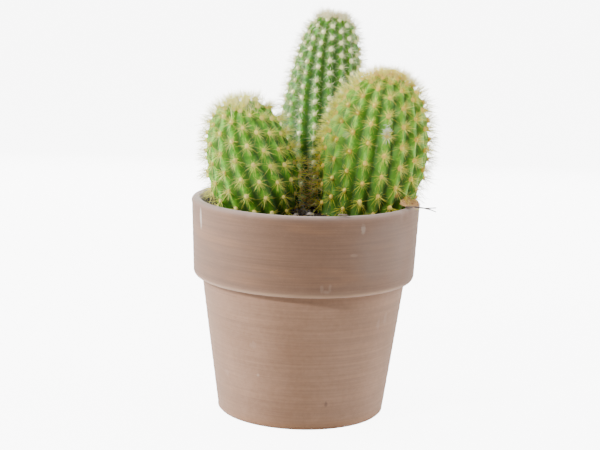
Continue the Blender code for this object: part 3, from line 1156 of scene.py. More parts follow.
@dataclass
class Stem:
    """One ribbed stem on a slightly bowed, leaning axis, with its wool and spines.

    base and apex are points on the axis, bow is how far its middle strays from
    the straight line between them, and the radius is measured on the rib crests.
    The skin swells in a mound round each pad. Young spines near the apex stand
    up, and the fine spines thin out on the lowest pads.
    """

    name: str
    base: tuple[float, float]
    apex: Point
    bow: tuple[float, float]
    radius: float
    base_share: float
    swell_reach: float
    taper: float
    dome_power: float
    dome_blunt: float
    ribs: int
    rib_depth: float
    front_angle: float
    twist: float
    crown_height: float
    pad_pitch: float
    pad_crowding: float
    pad_start: float
    pad_step: int
    coat: SpineCoat
    seed: int
    base_level: float = 105.0
    root_depth: float = 14.0
    crown_share: float = 0.34
    rows: int = 150
    columns_per_rib: int = 12
    swelling: float = 0.8
    exposed: float = 0.92
    mound_width: float = 3.0
    mound_length: float = 0.33
    mound_depth: float = 3.4
    young_lift: float = 72.0
    young_share: float = 0.75
    young_reach: float = 8.0
    loss_below: float = 0.46
    loss_fade: float = 0.16

    def axis(self, t: Array) -> Array:
        """Gives the points on the axis at shares of the way from base to apex.

        Args:
            t: Shares of the way from base to apex, below 0 for the root.

        Returns:
            The points in millimetres.
        """
        t = np.asarray(t, float)[..., None]
        base = np.array([*self.base, self.base_level])
        apex = np.array(self.apex)
        middle = (base + apex) / 2 + np.array([*self.bow, 0])
        curved = base * (1 - t) ** 2 + middle * (2 * t * (1 - t)) + apex * t ** 2
        return np.where(t < 0, base + (middle - base) * (2 * t), curved)

    def height(self) -> float:
        """Gives the straight length from the base to the apex."""
        return float(np.linalg.norm(self.axis(np.array(1.0)) - self.axis(np.array(0.0))))

    def crest_radius(self, t: Array) -> Array:
        """Gives the radius on the rib crests at shares of the height.

        Args:
            t: Shares of the height, below 0 for the root.

        Returns:
            The radii in millimetres.
        """
        t = np.asarray(t, float)
        up = np.clip(t, 0, 1)
        swell = np.sin(pi / 2 * np.minimum(up / self.swell_reach, 1))
        foot = self.base_share + (1 - self.base_share) * swell
        above = np.maximum(up - self.swell_reach, 0) / (1 - self.swell_reach)
        dome = (1 - up ** self.dome_power) ** (1 / self.dome_blunt)
        depth = np.minimum(np.maximum(-t, 0) * self.height() / self.root_depth, 1)
        root = self.base_share * np.sqrt(1 - depth ** 2)
        return self.radius * np.where(t < 0, root, foot * (1 - self.taper * above) * dome)

    def across(self, t: Array) -> tuple[Array, Array, Array]:
        """Gives the axis direction, the side and the back of the stem there.

        Args:
            t: Shares of the height, from 0 at the soil to 1 at the apex.

        Returns:
            Three unit directions for each share.
        """
        step = STEP / 2
        along = unit(self.axis(np.minimum(t + step, 1)) - self.axis(t - step))
        side = unit(np.array([1.0, 0, 0]) - along * along[..., :1])
        return along, side, np.cross(along, side)

    def outward(self, t: Array) -> tuple[Array, Array]:
        """Gives the skin's outward direction as its radial and axial parts.

        Args:
            t: Shares of the height, from 0 at the soil to 1 at the apex.

        Returns:
            The two parts for each share.
        """
        low = np.where(t >= 0, np.maximum(t - STEP, 0.0), t - STEP)
        high = np.minimum(t + STEP, 1.0)
        fall = self.crest_radius(low) - self.crest_radius(high)
        rise = (high - low) * self.height()
        size = np.sqrt(rise ** 2 + fall ** 2)
        return rise / size, fall / size

    def length_table(self) -> tuple[Array, Array]:
        """Gives distances along the skin from the apex, and the height share at each.

        Returns:
            The distances in millimetres, and the shares of the height.
        """
        t = 1 - np.linspace(0, 1, 4000) ** 2.0
        rise = np.diff(t * self.height())
        run = np.diff(self.crest_radius(t))
        return np.concatenate([[0], np.cumsum(np.hypot(rise, run))]), t

    def place(self, t: Array, phase: Array) -> tuple[Array, ...]:
        """Finds places on the skin.

        Args:
            t: Height share of each place.
            phase: Number of ribs round from the first one.

        Returns:
            The place, the outward and upward directions there, how deep in a
            furrow it is, from 0 to 1, and the fullness of the stem.
        """
        along, side, back = self.across(t)
        radial, axial = (part[..., None] for part in self.outward(t))
        crest = self.crest_radius(t)
        fullness = np.minimum(crest / self.radius, 1)
        fade = np.where(t >= 0, 1, np.maximum(1 + t * self.height() / (self.root_depth / 2), 0))
        hollow = 1 - np.abs(np.cos(pi * phase)) ** 1.2
        inset = -self.rib_depth * fullness * fade * hollow
        covered = np.where(t > self.swell_reach, np.maximum(1 - fullness / self.crown_share, 0), 0)
        wool = self.crown_height * np.sqrt(covered)
        turn = radians(self.front_angle) + radians(self.twist) * (1 - np.maximum(t, 0))
        turn = (turn + 2 * pi * phase / self.ribs)[..., None]
        away = side * np.sin(turn) - back * np.cos(turn)
        outward = away * radial + along * axial
        upward = along * radial - away * axial
        spot = self.axis(t) + away * (crest[..., None] + radial * inset[..., None])
        spot = spot + along * (axial * inset[..., None] + wool[..., None])
        return spot, outward, upward, hollow * fade, fullness

    def pads(self) -> dict[str, Array]:
        """Finds every wool pad: its height share, rib, distance from the apex and directions.

        Returns:
            One row for each pad under each name.
        """
        lengths, shares = self.length_table()
        t, rib, far = [], [], []
        for k in range(self.ribs):
            first = (self.pad_start + k * self.pad_step / self.ribs) % 1.0
            n = np.arange(first, 60, 1.0)
            if self.pad_crowding > 0:
                s = self.pad_pitch * (n - self.pad_crowding * (1 - np.exp(-n / self.pad_crowding)))
            else:
                s = self.pad_pitch * n
            s = s[(s > 1.2) & (s < lengths[-1] - 0.5)]
            t += list(np.interp(s, lengths, shares))
            rib += [k] * len(s)
            far += list(s)
        t, rib, far = np.array(t), np.array(rib, float), np.array(far)
        rng = np.random.default_rng(self.seed)
        t = np.clip(t + rng.normal(size=len(t)) * 0.0035, 0, 0.9995)
        rib = rib + rng.normal(size=len(t)) * 0.02
        spot, outward, upward, _, _ = self.place(t, rib)
        return {"t": t, "rib": rib, "far": far, "spot": spot + outward * self.swelling * 0.8,
                "out": outward, "up": upward, "side": np.cross(outward, upward)}

    def lay(self, u: Array, v: Array) -> Laid:
        """Places the skin's grid: v runs from the apex down to the root end.

        Args:
            u: The share of the way round, from 0 to 1.
            v: The share of the way along, from 0 to 1.

        Returns:
            Each point in millimetres, and the marks to store with it.
        """
        lengths, shares = self.length_table()
        s = lengths[-1] * np.clip(v / self.exposed, 0, 1) ** 1.12
        root = np.clip((v - self.exposed) / (1 - self.exposed), 0, 1)
        t = np.interp(s, lengths, shares) - root * self.root_depth / self.height()
        t = np.where(root > 0, -root * self.root_depth / self.height(), t)
        t = np.where(v <= 1e-9, 1.0, t)
        spot, outward, _, hollow, fullness = self.place(np.minimum(t, 1 - 1e-9), u * self.ribs)
        end = np.array(1.0)
        apex = self.axis(end) + self.across(end)[0] * self.crown_height
        spot = np.where((v <= 1e-9)[:, None], apex, spot)
        pads = self.pads()
        near = np.zeros(len(u))
        for start in range(0, len(u), CHUNK):
            piece = slice(start, start + CHUNK)
            gap = spot[piece, None] - pads["spot"][None]
            across, along, deep = (np.sum(gap * pads[way][None], axis=2)
                                   for way in ("side", "up", "out"))
            reach = (across / self.mound_width) ** 2 + (deep / self.mound_depth) ** 2
            reach = reach + (along / (self.pad_pitch * self.mound_length)) ** 2
            near[piece] = np.exp(-reach).max(axis=1)
        swell = self.swelling * (near * 1.4 - 0.4) * (1 - 0.7 * hollow)
        swell = swell * np.clip(fullness * 1.6, 0, 1)
        swell = np.where(root > 0, 0, swell)
        spot = spot + outward * swell[:, None]
        furrow = np.clip(hollow * np.clip(fullness * 1.5, 0, 1), 0, 1)
        return spot, {"furrow": furrow, "collar": near, "age": 1 - np.clip(t, 0, 1)}

    def build_skin(self) -> Piece:
        """Makes the ribbed skin, closed at the growing point and at the root."""
        columns = self.ribs * self.columns_per_rib
        return wrap_sheet(f"{self.name}_skin", columns, self.rows, self.lay)

    def build_pads(self, shape: Sprig) -> Piece:
        """Sets a wool cushion on the rib at every pad.

        Args:
            shape: The shape that is copied.

        Returns:
            All the cushions as one piece.
        """
        pads = self.pads()
        rng = np.random.default_rng(self.seed + 1)
        count = len(pads["t"])
        youth = np.clip(pads["far"] / 9.0, 0.45, 1)
        size = youth * rng.uniform(0.86, 1.14, count)
        height = self.coat.pad_height * size
        roots = pads["spot"] - pads["out"] * 0.15
        wide = size * self.coat.pad_width / 2
        return shape.set_out(f"{self.name}_pads", roots, pads["out"], height, wide,
                             np.zeros((count, 3)), rng.uniform(0, 1, count), across=pads["side"],
                             flatness=self.coat.pad_length / self.coat.pad_width)

    @staticmethod
    def for_each(pads: dict[str, Array], each: int) -> tuple[Array, ...]:
        """Gives the place and directions of its pad to each of a number of hairs or spines."""
        return tuple(np.repeat(pads[key], each, axis=0) for key in ("spot", "out", "up", "side"))

    def build_wool(self, shape: Sprig) -> Piece:
        """Grows short soft hairs out of every pad.

        Args:
            shape: The shape that is copied.

        Returns:
            All the hairs as one piece.
        """
        pads = self.pads()
        rng = np.random.default_rng(self.seed + 2)
        each = self.coat.wool_hairs
        count = len(pads["t"]) * each
        spot, out, up, side = self.for_each(pads, each)
        turn = rng.uniform(0, 2 * pi, count)[:, None]
        lean = rng.uniform(0.1, 1.25, count)[:, None]
        longer = self.coat.pad_length / self.coat.pad_width
        flat = up * np.cos(turn) * longer + side * np.sin(turn)
        roots = spot + flat * rng.uniform(0.2, 0.9, count)[:, None] * self.coat.pad_width * 0.45
        roots = roots + out * self.coat.pad_height * 0.2
        ways = flat * np.sin(lean) + out * np.cos(lean)
        bends = rng.normal(size=(count, 3)) * 0.45
        return shape.set_out(f"{self.name}_wool", roots, ways, rng.uniform(0.6, 1.3, count),
                             np.full(count, 0.10), bends, rng.uniform(0, 1, count))

    def grow_kind(self, kind: SpineKind, rng: np.random.Generator) -> dict[str, Array]:
        """Grows one kind of spine on every pad.

        Args:
            kind: The kind of spine.
            rng: The source of chance.

        Returns:
            The roots, ways, lengths, widths, bends and variety of the spines.
        """
        pads = self.pads()
        count = len(pads["t"]) * kind.count
        number = np.tile(np.arange(kind.count), len(pads["t"]))
        spot, out, up, side = self.for_each(pads, kind.count)
        far = np.repeat(pads["far"], kind.count)
        start = np.repeat(rng.uniform(0, 2 * pi, len(pads["t"])), kind.count)
        turn = start + 2 * pi * number / kind.count + rng.normal(size=count) * 0.22
        rise = np.radians(rng.uniform(kind.low, kind.high, count))
        young = self.young_share * np.exp(-far / self.young_reach)
        rise = rise + (np.radians(self.young_lift) - rise) * young
        flat = up * np.cos(turn)[:, None] + side * np.sin(turn)[:, None]
        ways = flat * np.cos(rise)[:, None] + out * np.sin(rise)[:, None]
        drop = 0.84 - 0.20 * np.cos(turn) * np.cos(rise)
        length = kind.length * drop * rng.uniform(0.72, 1.15, count)
        length = length * np.clip(0.70 + far / 30.0, 0.70, 1)
        width = kind.thickness * rng.uniform(0.8, 1.15, count)
        roots = spot + flat * kind.spread * self.coat.pad_width * 0.4 + out * 0.2
        bends = rng.normal(size=(count, 3)) * 0.30 - out * 0.35 * np.cos(rise)[:, None]
        bends[:, 2] -= kind.droop
        grown = {"roots": roots, "ways": ways, "lengths": length, "widths": width, "bends": bends,
                 "variety": rng.uniform(0, 1, count)}
        low = np.clip((self.loss_below - pads["t"]) / self.loss_fade, 0, 1)
        kept = rng.uniform(0, 1, count) > np.repeat(low, kind.count) * kind.low_loss
        return {key: values[kept] for key, values in grown.items()}

    def build_spines(self, shape: Sprig) -> Piece:
        """Grows the star of spines out of every pad, bold ones and fine ones.

        Args:
            shape: The shape that is copied.

        Returns:
            All the spines as one piece.
        """
        rng = np.random.default_rng(self.seed + 3)
        grown = [self.grow_kind(kind, rng) for kind in self.coat.kinds]
        whole = {key: np.concatenate([part[key] for part in grown]) for key in grown[0]}
        return shape.set_out(f"{self.name}_spines", **whole)

    def build_crown(self, shape: Sprig, part: str, tuft: Tuft) -> Piece:
        """Grows one part of the tuft of young spines on the growing point.

        Args:
            shape: The shape of one spine.
            part: What this part of the tuft is called.
            tuft: How it grows.

        Returns:
            The spines as one piece.
        """
        rng = np.random.default_rng(self.seed + 4 + len(part))
        lengths, shares = self.length_table()
        far = 0.3 + tuft.reach * np.sqrt(rng.uniform(0, 1, tuft.count))
        t = np.interp(far, lengths, shares)
        phase = np.round(rng.uniform(0, self.ribs, tuft.count))
        phase = phase + rng.normal(size=tuft.count) * 0.14
        spot, out, _, _, _ = self.place(t, phase)
        along = self.across(t)[0]
        ways = unit(out * 0.7 + along * 0.3 + rng.normal(size=(tuft.count, 3)) * tuft.stray)
        length = tuft.length * rng.uniform(0.55, 1.1, tuft.count)
        bends = rng.normal(size=(tuft.count, 3)) * 0.4
        return shape.set_out(f"{self.name}_{part}", spot - ways * 0.4, ways, length,
                             np.full(tuft.count, tuft.thickness), bends,
                             rng.uniform(0, 1, tuft.count))


LEFT_COAT = SpineCoat(
    kinds=(SpineKind(12, 6.6, 0.062, 5, 38, droop=0.5),
           SpineKind(4, 9.0, 0.095, 45, 82, 0.4, 0.3),
           SpineKind(46, 7.4, 0.043, 40, 88, low_loss=0.92)),
    pad_width=2.1, pad_length=2.5, pad_height=1.2, wool_hairs=12,
    fringe=Tuft(230, 8.0, 12.0, 0.070, 0.38), tuft=Tuft(170, 4.6, 4.6, 0.06, 0.5))
TALL_COAT = SpineCoat(
    kinds=(SpineKind(10, 4.6, 0.050, 5, 40),
           SpineKind(3, 6.8, 0.085, 45, 82, 0.4, 0.3),
           SpineKind(28, 6.2, 0.036, 50, 88, low_loss=0.5)),
    pad_width=2.4, pad_length=2.6, pad_height=1.3, wool_hairs=10,
    fringe=Tuft(240, 6.8, 10.0, 0.065), tuft=Tuft(300, 4.6, 6.0, 0.06, 0.5))
RIGHT_COAT = SpineCoat(
    kinds=(SpineKind(12, 6.8, 0.062, 5, 38, droop=0.5),
           SpineKind(5, 9.6, 0.100, 45, 82, 0.4, 0.3),
           SpineKind(56, 7.7, 0.044, 40, 88, low_loss=0.7)),
    pad_width=2.2, pad_length=2.7, pad_height=1.2, wool_hairs=12,
    fringe=Tuft(420, 8.2, 15.0, 0.070, 0.38), tuft=Tuft(460, 5.8, 8.0, 0.06, 0.5))

STEMS = (
    Stem("stem_left", base=(-20.4, -5.0), apex=(-34.5, -23.5, 163.7), bow=(-3.4, -1.9),
         radius=23.1, base_share=0.75, swell_reach=0.39, taper=0.12, dome_power=3.7,
         dome_blunt=3.7, ribs=17, rib_depth=1.6, front_angle=-19.4, twist=20.7,
         crown_height=0.6, pad_pitch=9.278, pad_crowding=0.05, pad_start=0.684, pad_step=6,
         coat=LEFT_COAT, seed=100),
    Stem("stem_tall", base=(4.4, 30.0), apex=(12.9, 48.0, 205.6), bow=(-2.5, 8.0),
         radius=23.2, base_share=0.73, swell_reach=0.30, taper=0.30, dome_power=4.8,
         dome_blunt=4.45, ribs=18, rib_depth=1.5, front_angle=-3.0, twist=23.9,
         crown_height=0.6, pad_pitch=6.909, pad_crowding=0.40, pad_start=0.36, pad_step=7,
         coat=TALL_COAT, seed=200, rows=170),
    Stem("stem_right", base=(27.3, -5.4), apex=(41.8, 3.0, 177.4), bow=(2.2, -3.0),
         radius=28.1, base_share=0.77, swell_reach=0.52, taper=0.02, dome_power=3.3,
         dome_blunt=2.5, ribs=19, rib_depth=2.6, front_angle=0.29, twist=14.4,
         crown_height=0.8, pad_pitch=9.558, pad_crowding=0.0, pad_start=0.624, pad_step=8,
         coat=RIGHT_COAT, seed=300),
)

RIGHT_MARKS = (
    Mark((39.0, -28.4, 149.8), (2.2, 2.2, 4.4), (0.52, 0.66, 0.40), 0.20),
    Mark((19.5, -19.6, 149.6), (2.0, 2.0, 3.0), (0.42, 0.60, 0.22), 0.45),
    Mark((34.7, -26.1, 143.4), (1.6, 1.6, 3.0), (0.42, 0.60, 0.22), 0.45),
    Mark((45.8, -22.0, 119.8), (2.6, 2.6, 1.8), (0.26, 0.075, 0.03), 0.9),
    Mark((62.0, 14.0, 140.0), (2.2, 2.2, 4.0), (0.42, 0.60, 0.22), 0.5),
    Mark((30.0, 30.5, 132.0), (3.0, 3.0, 5.0), (0.40, 0.26, 0.10), 0.6),
)


# ---------------------------------------------------------------- small things


@dataclass
class GritStone:
    """One lumpy grit stone, in the place of its CAD node."""

    node: str
    seed: int

    def build(self) -> Piece:
        """Makes the stone to fill the box of its node.

        Returns:
            The stone.
        """
        low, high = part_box(self.node)
        leave_everything()
        bpy.ops.mesh.primitive_ico_sphere_add(subdivisions=4, radius=1, location=(0, 0, 0))
        stone = bpy.context.object
        stone.name = f"{self.node}_rough"
        points = read_points(stone)
        rng = np.random.default_rng(self.seed)
        lump = np.ones(len(points))
        for _ in range(9):
            way = unit(rng.normal(size=3))
            cut = rng.uniform(0.72, 0.95)
            reach = points @ way
            lump = np.where(reach * lump > cut, cut / np.maximum(reach, 0.05), lump)
        for wave in (3.0, 7.0, 15.0):
            turn = rng.normal(size=(3, 3))
            first, second = (np.sin(points @ way * wave) for way in turn[:2])
            lump = lump + 0.10 / wave ** 0.7 * first * second
        points = points * lump[:, None]
        span = points.max(0) - points.min(0)
        middle = (points.max(0) + points.min(0)) / 2
        fitted = (points - middle) / span * np.array(high - low)
        write_points(stone, fitted + np.array((low + high) / 2))
        bpy.ops.object.shade_smooth()
        return stone


@dataclass
class WoolTuft:
    """The white woolly tuft on the front of the right stem."""

    middle: Point = (39.9, -29.0, 152.6)
    facing: Point = (0.10, -0.95, 0.22)
    height: float = 5.6
    width: float = 2.8
    hairs: int = 170

    def build(self, shape: Sprig) -> Piece:
        """Grows the soft hairs, each in its own direction.

        Args:
            shape: The shape that is copied.

        Returns:
            The tuft as one piece.
        """
        rng = np.random.default_rng(61)
        out = unit(np.array(self.facing))
        side = unit(np.cross(np.array([0.0, 0.0, 1.0]), out))
        up = np.cross(out, side)
        spread = rng.normal(size=(self.hairs, 2)) * np.array([self.width, self.height]) * 0.27
        roots = np.array(self.middle) + side * spread[:, :1] + up * spread[:, 1:] - out * 0.7
        ways = unit(out * 0.6 + rng.normal(size=(self.hairs, 3)) * 0.8)
        return shape.set_out("wool_tuft", roots, ways, rng.uniform(0.9, 2.6, self.hairs),
                             np.full(self.hairs, 0.085), rng.normal(size=(self.hairs, 3)) * 0.9,
                             rng.uniform(0, 1, self.hairs))


@dataclass
class DriedHusk:
    """The curled, papery flower husk on the rim."""

    place: Point = (53.0, -23.6, 115.3)
    length: float = 9.4
    width: float = 6.0
    thickness: float = 0.35
    turns: Point = (42.0, 6.0, -10.0)

    def lay(self, u: Array, v: Array) -> Laid:
        """Places the leaf's grid: a shallow boat with a crumpled, torn edge.

        Args:
            u: The share of the way across, from 0 to 1.
            v: The share of the way along, from 0 to 1.

        Returns:
            Each point in millimetres, and the marks to store with it.
        """
        along = v * 2 - 1
        torn = 1 + 0.10 * np.sin(v * 19) + 0.06 * np.sin(v * 41)
        side = (u * 2 - 1) * (np.sqrt(np.maximum(1 - 0.82 * along ** 2, 0)) * torn)
        x = along * self.length / 2 * (1 + 0.04 * np.sin(u * 17))
        y = side * self.width / 2
        z = 1.55 * side ** 2 + 0.85 * along ** 2
        z += 0.16 * np.sin(x * 2.6 + 1) * np.cos(y * 2.2) + 0.10 * np.sin(y * 6.5 + x)
        turned = Euler([radians(turn) for turn in self.turns], "XYZ").to_matrix()
        points = np.stack([x, y, z], 1) @ np.array(turned).T
        return points + np.array(self.place), {}

    def build(self) -> Piece:
        """Makes the leaf and gives it its thickness.

        Returns:
            The leaf.
        """
        husk = wrap_sheet("curled_husk", 30, 36, self.lay)
        shell = husk.modifiers.new("thickness", "SOLIDIFY")
        shell.thickness = self.thickness * MM
        shell.offset = 0
        apply_all(husk)
        return husk


@dataclass
class Stalk:
    """A thin dry stalk that follows a path of points."""

    name: str
    path: tuple[Point, ...]
    radius: float
    tip_radius: float
    sides: int = 10
    knots: float = 0.12

    def lay(self, u: Array, v: Array) -> Laid:
        """Places the stalk's grid round its path.

        Args:
            u: The share of the way round, from 0 to 1.
            v: The share of the way along, from 0 to 1.

        Returns:
            Each point in millimetres, and the marks to store with it.
        """
        path = np.array(self.path)
        steps = np.concatenate([[0], np.cumsum(np.linalg.norm(np.diff(path, axis=0), axis=1))])
        steps = steps / steps[-1]
        w = np.clip((v - 0.02) / 0.96, 0, 1)

        def at(x: Array) -> Array:
            """Gives the path's points, with its corners eased.

            Args:
                x: Shares of the way along the path.

            Returns:
                The points in millimetres.
            """
            out = np.zeros((len(x), 3))
            for shift in (-0.03, 0, 0.03):
                for i in range(3):
                    out[:, i] += np.interp(np.clip(x + shift, 0, 1), steps, path[:, i]) / 3
            return out

        centre = at(w)
        along = unit(at(np.minimum(w + 0.02, 1)) - at(np.maximum(w - 0.02, 0)))
        side = unit(np.cross(along, np.array([0.0, 0.05, 1.0])))
        up = np.cross(along, side)
        radius = self.radius + (self.tip_radius - self.radius) * w
        radius = radius * (1 + self.knots * np.sin(w * 37 + 1) * np.sin(w * 13))
        radius = np.where((v < 0.01) | (v > 0.99), 0, radius)
        turn = (2 * pi * u)[:, None]
        points = centre + (side * np.cos(turn) + up * np.sin(turn)) * radius[:, None]
        return points, {}

    def build(self) -> Piece:
        """Makes the stalk, closed at both ends."""
        return wrap_sheet(self.name, self.sides, 60, self.lay)


TWIG = Stalk("forked_twig", radius=0.5, tip_radius=0.25, path=(
    (50.6, -27.0, 114.45), (56.0, -26.7, 114.6), (61.2, -26.5, 114.05), (66.6, -27.0, 114.55)))
FORK = Stalk("twig_side_shoot", radius=0.38, tip_radius=0.2, path=(
    (60.6, -26.5, 114.05), (63.5, -27.4, 113.55), (66.4, -28.6, 112.65)))


# ---------------------------------------------------------------- the room


@dataclass(frozen=True)
class Lamp:
    """A soft studio lamp: a lit panel that faces a point."""

    name: str
    place: Point
    aim: Point
    width: float
    height: float
    power: float
    colour: Colour = (1.0, 1.0, 1.0)

    def hang(self) -> None:
        """Puts up the lamp."""
        light = bpy.data.lights.new(self.name, "AREA")
        light.shape = "RECTANGLE"
        light.size = self.width
        light.size_y = self.height
        light.energy = self.power
        light.color = self.colour
        lamp = bpy.data.objects.new(self.name, light)
        bpy.context.scene.collection.objects.link(lamp)
        lamp.location = self.place
        facing = Vector(self.aim) - Vector(self.place)
        lamp.rotation_euler = facing.to_track_quat("-Z", "Y").to_euler()


@dataclass(frozen=True)
class Studio:
    """The plain pale floor, the soft light and the camera."""

    lamps: tuple[Lamp, ...] = (
        Lamp("key_lamp", (-0.65, -0.65, 0.71), (0, 0, 0.10), 0.10, 0.10, 14.1),
        Lamp("left_panel", (-0.88, 0.10, 0.30), (0, 0, 0.12), 0.5, 0.9, 24.4),
        Lamp("right_panel", (0.88, 0.06, 0.30), (0, 0, 0.12), 0.5, 0.9, 18.1),
        Lamp("top_panel", (0.0, 0.10, 1.0), (0, 0, 0.1), 0.9, 0.9, 2.3),
        Lamp("back_panel", (0.0, 0.85, 0.40), (0, 0, 0.14), 1.0, 0.6, 14.0),
    )
    sky: float = 0.159
    glow: float = 8.0
    camera_place: Point = (0.0, -789.0, 242.2)
    yaw: float = -0.0034
    pitch: float = 0.1799
    roll: float = 0.0289
    lens: float = 91.1

    def shine(self, recipe: Recipe) -> Socket:
        """Gives the glow that only the camera sees behind the plant."""
        seen = recipe.node("ShaderNodeLightPath").outputs["Is Camera Ray"]
        return recipe.sums("MULTIPLY", seen, self.glow)

    def lay_floor(self) -> None:
        """Lays one wide, pale floor."""
        leave_everything()
        bpy.ops.mesh.primitive_plane_add(size=60, location=(0, 0, 0))
        floor = bpy.context.object
        floor.name = "studio_floor"
        material, recipe, shader = Finish("floor_paint", roughness=0.9).begin()
        recipe.fill(shader, {"Base Color": (0.45, 0.45, 0.45, 1), "Emission Color": (1, 1, 1, 1),
                             "Emission Strength": self.shine(recipe)})
        floor.data.materials.append(material)

    def light(self) -> None:
        """Lights the room from all sides and hangs the lamps."""
        world = bpy.data.worlds.new("pale_room")
        world.use_nodes = True
        recipe = Recipe(world.node_tree)
        strength = recipe.sums("ADD", self.shine(recipe), self.sky)
        recipe.fill(world.node_tree.nodes["Background"],
                    {"Color": (1, 1, 1, 1), "Strength": strength})
        bpy.context.scene.world = world
        for lamp in self.lamps:
            lamp.hang()

    def set_camera(self) -> None:
        """Sets up the camera in front of the pot, a little above it."""
        data = bpy.data.cameras.new("camera")
        data.lens = self.lens
        data.sensor_width = 36.0
        data.clip_end = 100.0
        camera = bpy.data.objects.new("camera", data)
        bpy.context.scene.collection.objects.link(camera)
        y, p, r = self.yaw, self.pitch, self.roll
        ahead = Vector((sin(y) * cos(p), cos(y) * cos(p), -sin(p)))
        level = Vector((cos(y), -sin(y), 0))
        up = level.cross(ahead)
        right = level * cos(r) + up * sin(r)
        above = up * cos(r) - level * sin(r)
        turned = Matrix((right, above, -ahead)).transposed().to_4x4()
        turned.translation = Vector(to_frame(np.array(self.camera_place)))
        camera.matrix_world = turned
        bpy.context.scene.camera = camera


# ---------------------------------------------------------------- putting it together


FINISHES = (
    ClayFinish("fired_clay", relief=0.3, relief_depth=0.0002, marks=CLAY_MARKS),
    EarthFinish("potting_soil_dark", roughness=0.9, relief=0.8, relief_depth=0.0006),
    EarthFinish("grit_stone_grey", roughness=0.85, relief=0.8, base=(0.60, 0.52, 0.47),
                dark=(0.20, 0.15, 0.13), pale=(0.92, 0.88, 0.84), coarse=420.0, fine=2200.0),
    EarthFinish("stone_flake_brown", roughness=0.85, relief=0.6, base=(0.17, 0.12, 0.09),
                dark=(0.06, 0.04, 0.03), pale=(0.42, 0.34, 0.28), coarse=420.0, fine=2200.0),
    EarthFinish("husk_paper", roughness=0.75, relief=0.6, base=(0.64, 0.38, 0.18),
                dark=(0.38, 0.18, 0.08), pale=(0.90, 0.66, 0.42), coarse=300.0, fine=1500.0,
                stretch=(0.6, 2.4, 1.0)),
    EarthFinish("dead_wood_grey", roughness=0.85, relief=0.6, base=(0.20, 0.165, 0.15),
                dark=(0.09, 0.07, 0.06), pale=(0.36, 0.32, 0.30), coarse=300.0, fine=1800.0,
                stretch=(0.4, 2.0, 2.0)),
    SkinFinish("left_skin"),
    SkinFinish("tall_skin", crest=(0.054, 0.238, 0.008), flank=(0.017, 0.108, 0.004),
               furrow=(0.013, 0.070, 0.007)),
    SkinFinish("right_skin", crest=(0.162, 0.41, 0.014), flank=(0.078, 0.240, 0.010),
               furrow=(0.060, 0.155, 0.021), marks=RIGHT_MARKS),
    SpineFinish("left_spines"),
    SpineFinish("tall_spines", root=(0.90, 0.80, 0.30), tip=(1.0, 1.0, 0.60),
                odd=(0.92, 0.80, 0.34)),
    SpineFinish("right_spines", root=(0.92, 0.56, 0.03), tip=(1.0, 0.92, 0.09),
                odd=(0.94, 0.64, 0.03)),
    SpineFinish("old_spines", roughness=0.7, root=(0.78, 0.42, 0.09), tip=(1.0, 0.76, 0.28),
                odd=(0.82, 0.44, 0.12)),
    SpineFinish("left_tuft", root=(0.94, 0.76, 0.24), tip=(1.0, 0.94, 0.42),
                odd=(0.98, 0.78, 0.26)),
    SpineFinish("tall_tuft", root=(0.98, 0.54, 0.20), tip=(1.0, 0.78, 0.40),
                odd=(0.98, 0.58, 0.26)),
    SpineFinish("right_tuft", root=(0.94, 0.36, 0.02), tip=(1.0, 0.64, 0.12),
                odd=(0.94, 0.42, 0.04)),
    SpineFinish("left_wool", roughness=0.95, root=(1.0, 0.77, 0.23), tip=(1.0, 0.90, 0.32),
                odd=(1.0, 0.70, 0.20), change=0.8),
    SpineFinish("tall_wool", roughness=0.95, root=(0.96, 0.92, 0.46), tip=(1.0, 1.0, 0.58),
                odd=(1.0, 0.90, 0.48), change=0.8),
    SpineFinish("right_wool", roughness=0.95, root=(1.0, 0.67, 0.14), tip=(1.0, 0.82, 0.21),
                odd=(1.0, 0.60, 0.11), change=0.8),
    SpineFinish("white_wool", roughness=0.95, root=(0.86, 0.86, 0.70), tip=(1.0, 1.0, 0.92),
                odd=(0.90, 0.84, 0.66)),
)


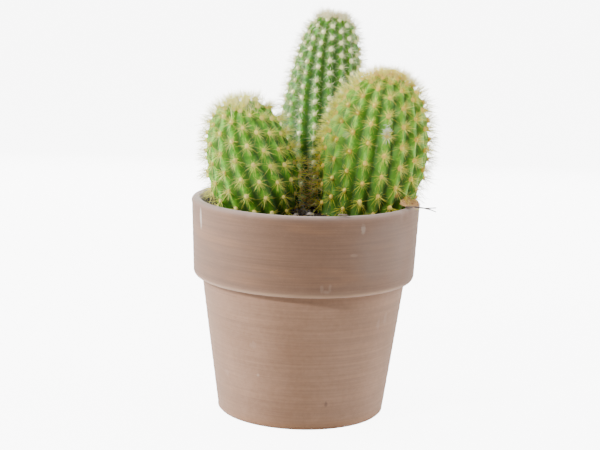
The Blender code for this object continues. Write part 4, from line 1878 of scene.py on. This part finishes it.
def build_plant(looks: dict[str, Material], spine: Sprig, pad: Sprig) -> None:
    """Makes the three stems with all that grows on them.

    Args:
        looks: The materials by name.
        spine: The shape of one spine.
        pad: The shape of one wool cushion.
    """
    for stem in STEMS:
        side = stem.name.removeprefix("stem_")
        dress(stem.build_skin(), looks[f"{side}_skin"], Slot.STEM, stem.name)
        dress(stem.build_pads(pad), looks[f"{side}_wool"], Slot.STEM)
        dress(stem.build_wool(spine), looks[f"{side}_wool"], Slot.STEM)
        dress(stem.build_spines(spine), looks[f"{side}_spines"], Slot.STEM)
        for part, tuft in (("fringe", stem.coat.fringe), ("tuft", stem.coat.tuft)):
            dress(stem.build_crown(spine, part, tuft), looks[f"{side}_tuft"], Slot.STEM)
    dress(WoolTuft().build(spine), looks["white_wool"], Slot.STEM)


def main() -> None:
    """Builds every piece in order."""
    logging.basicConfig(level=logging.INFO, format="%(name)s: %(message)s")
    studio = Studio()
    studio.set_camera()
    studio.lay_floor()
    studio.light()

    effects = SharedEffects()
    looks = {finish.name: finish.make(effects) for finish in FINISHES}
    earth, stone, wood = (looks[name] for name in
                          ("potting_soil_dark", "grit_stone_grey", "dead_wood_grey"))

    pot = ClayPot()
    dress(pot.build(), looks["fired_clay"], Slot.CLAY, "clay_pot")
    spine, pad, crumb = make_spine_shape(), make_pad_shape(), make_crumb_shape()
    soil = PottingSoil(pot)
    dress(soil.build_ball(), earth, Slot.SOIL, "potting_soil")
    dress(soil.build_lumps(crumb, CRUMBS), earth, Slot.SOIL)
    dress(soil.build_needles(spine), looks["old_spines"], Slot.SOIL)
    build_plant(looks, spine, pad)

    for number in range(1, 13):
        node = f"grit_stone_{number:02d}"
        dress(GritStone(node, number).build(), stone, Slot.GRIT, node)
    dress(soil.build_lumps(crumb, GRIT), stone, Slot.GRIT)
    flake = GritStone("stone_flake", 40).build()
    dress(flake, looks["stone_flake_brown"], Slot.GRIT, "stone_flake")
    dress(DriedHusk().build(), looks["husk_paper"], Slot.HUSK, "dried_husk")
    dress(TWIG.build(), wood, Slot.DEAD_WOOD, "dead_twig")
    dress(FORK.build(), wood, Slot.DEAD_WOOD)


if __name__ == "__main__":
    main()
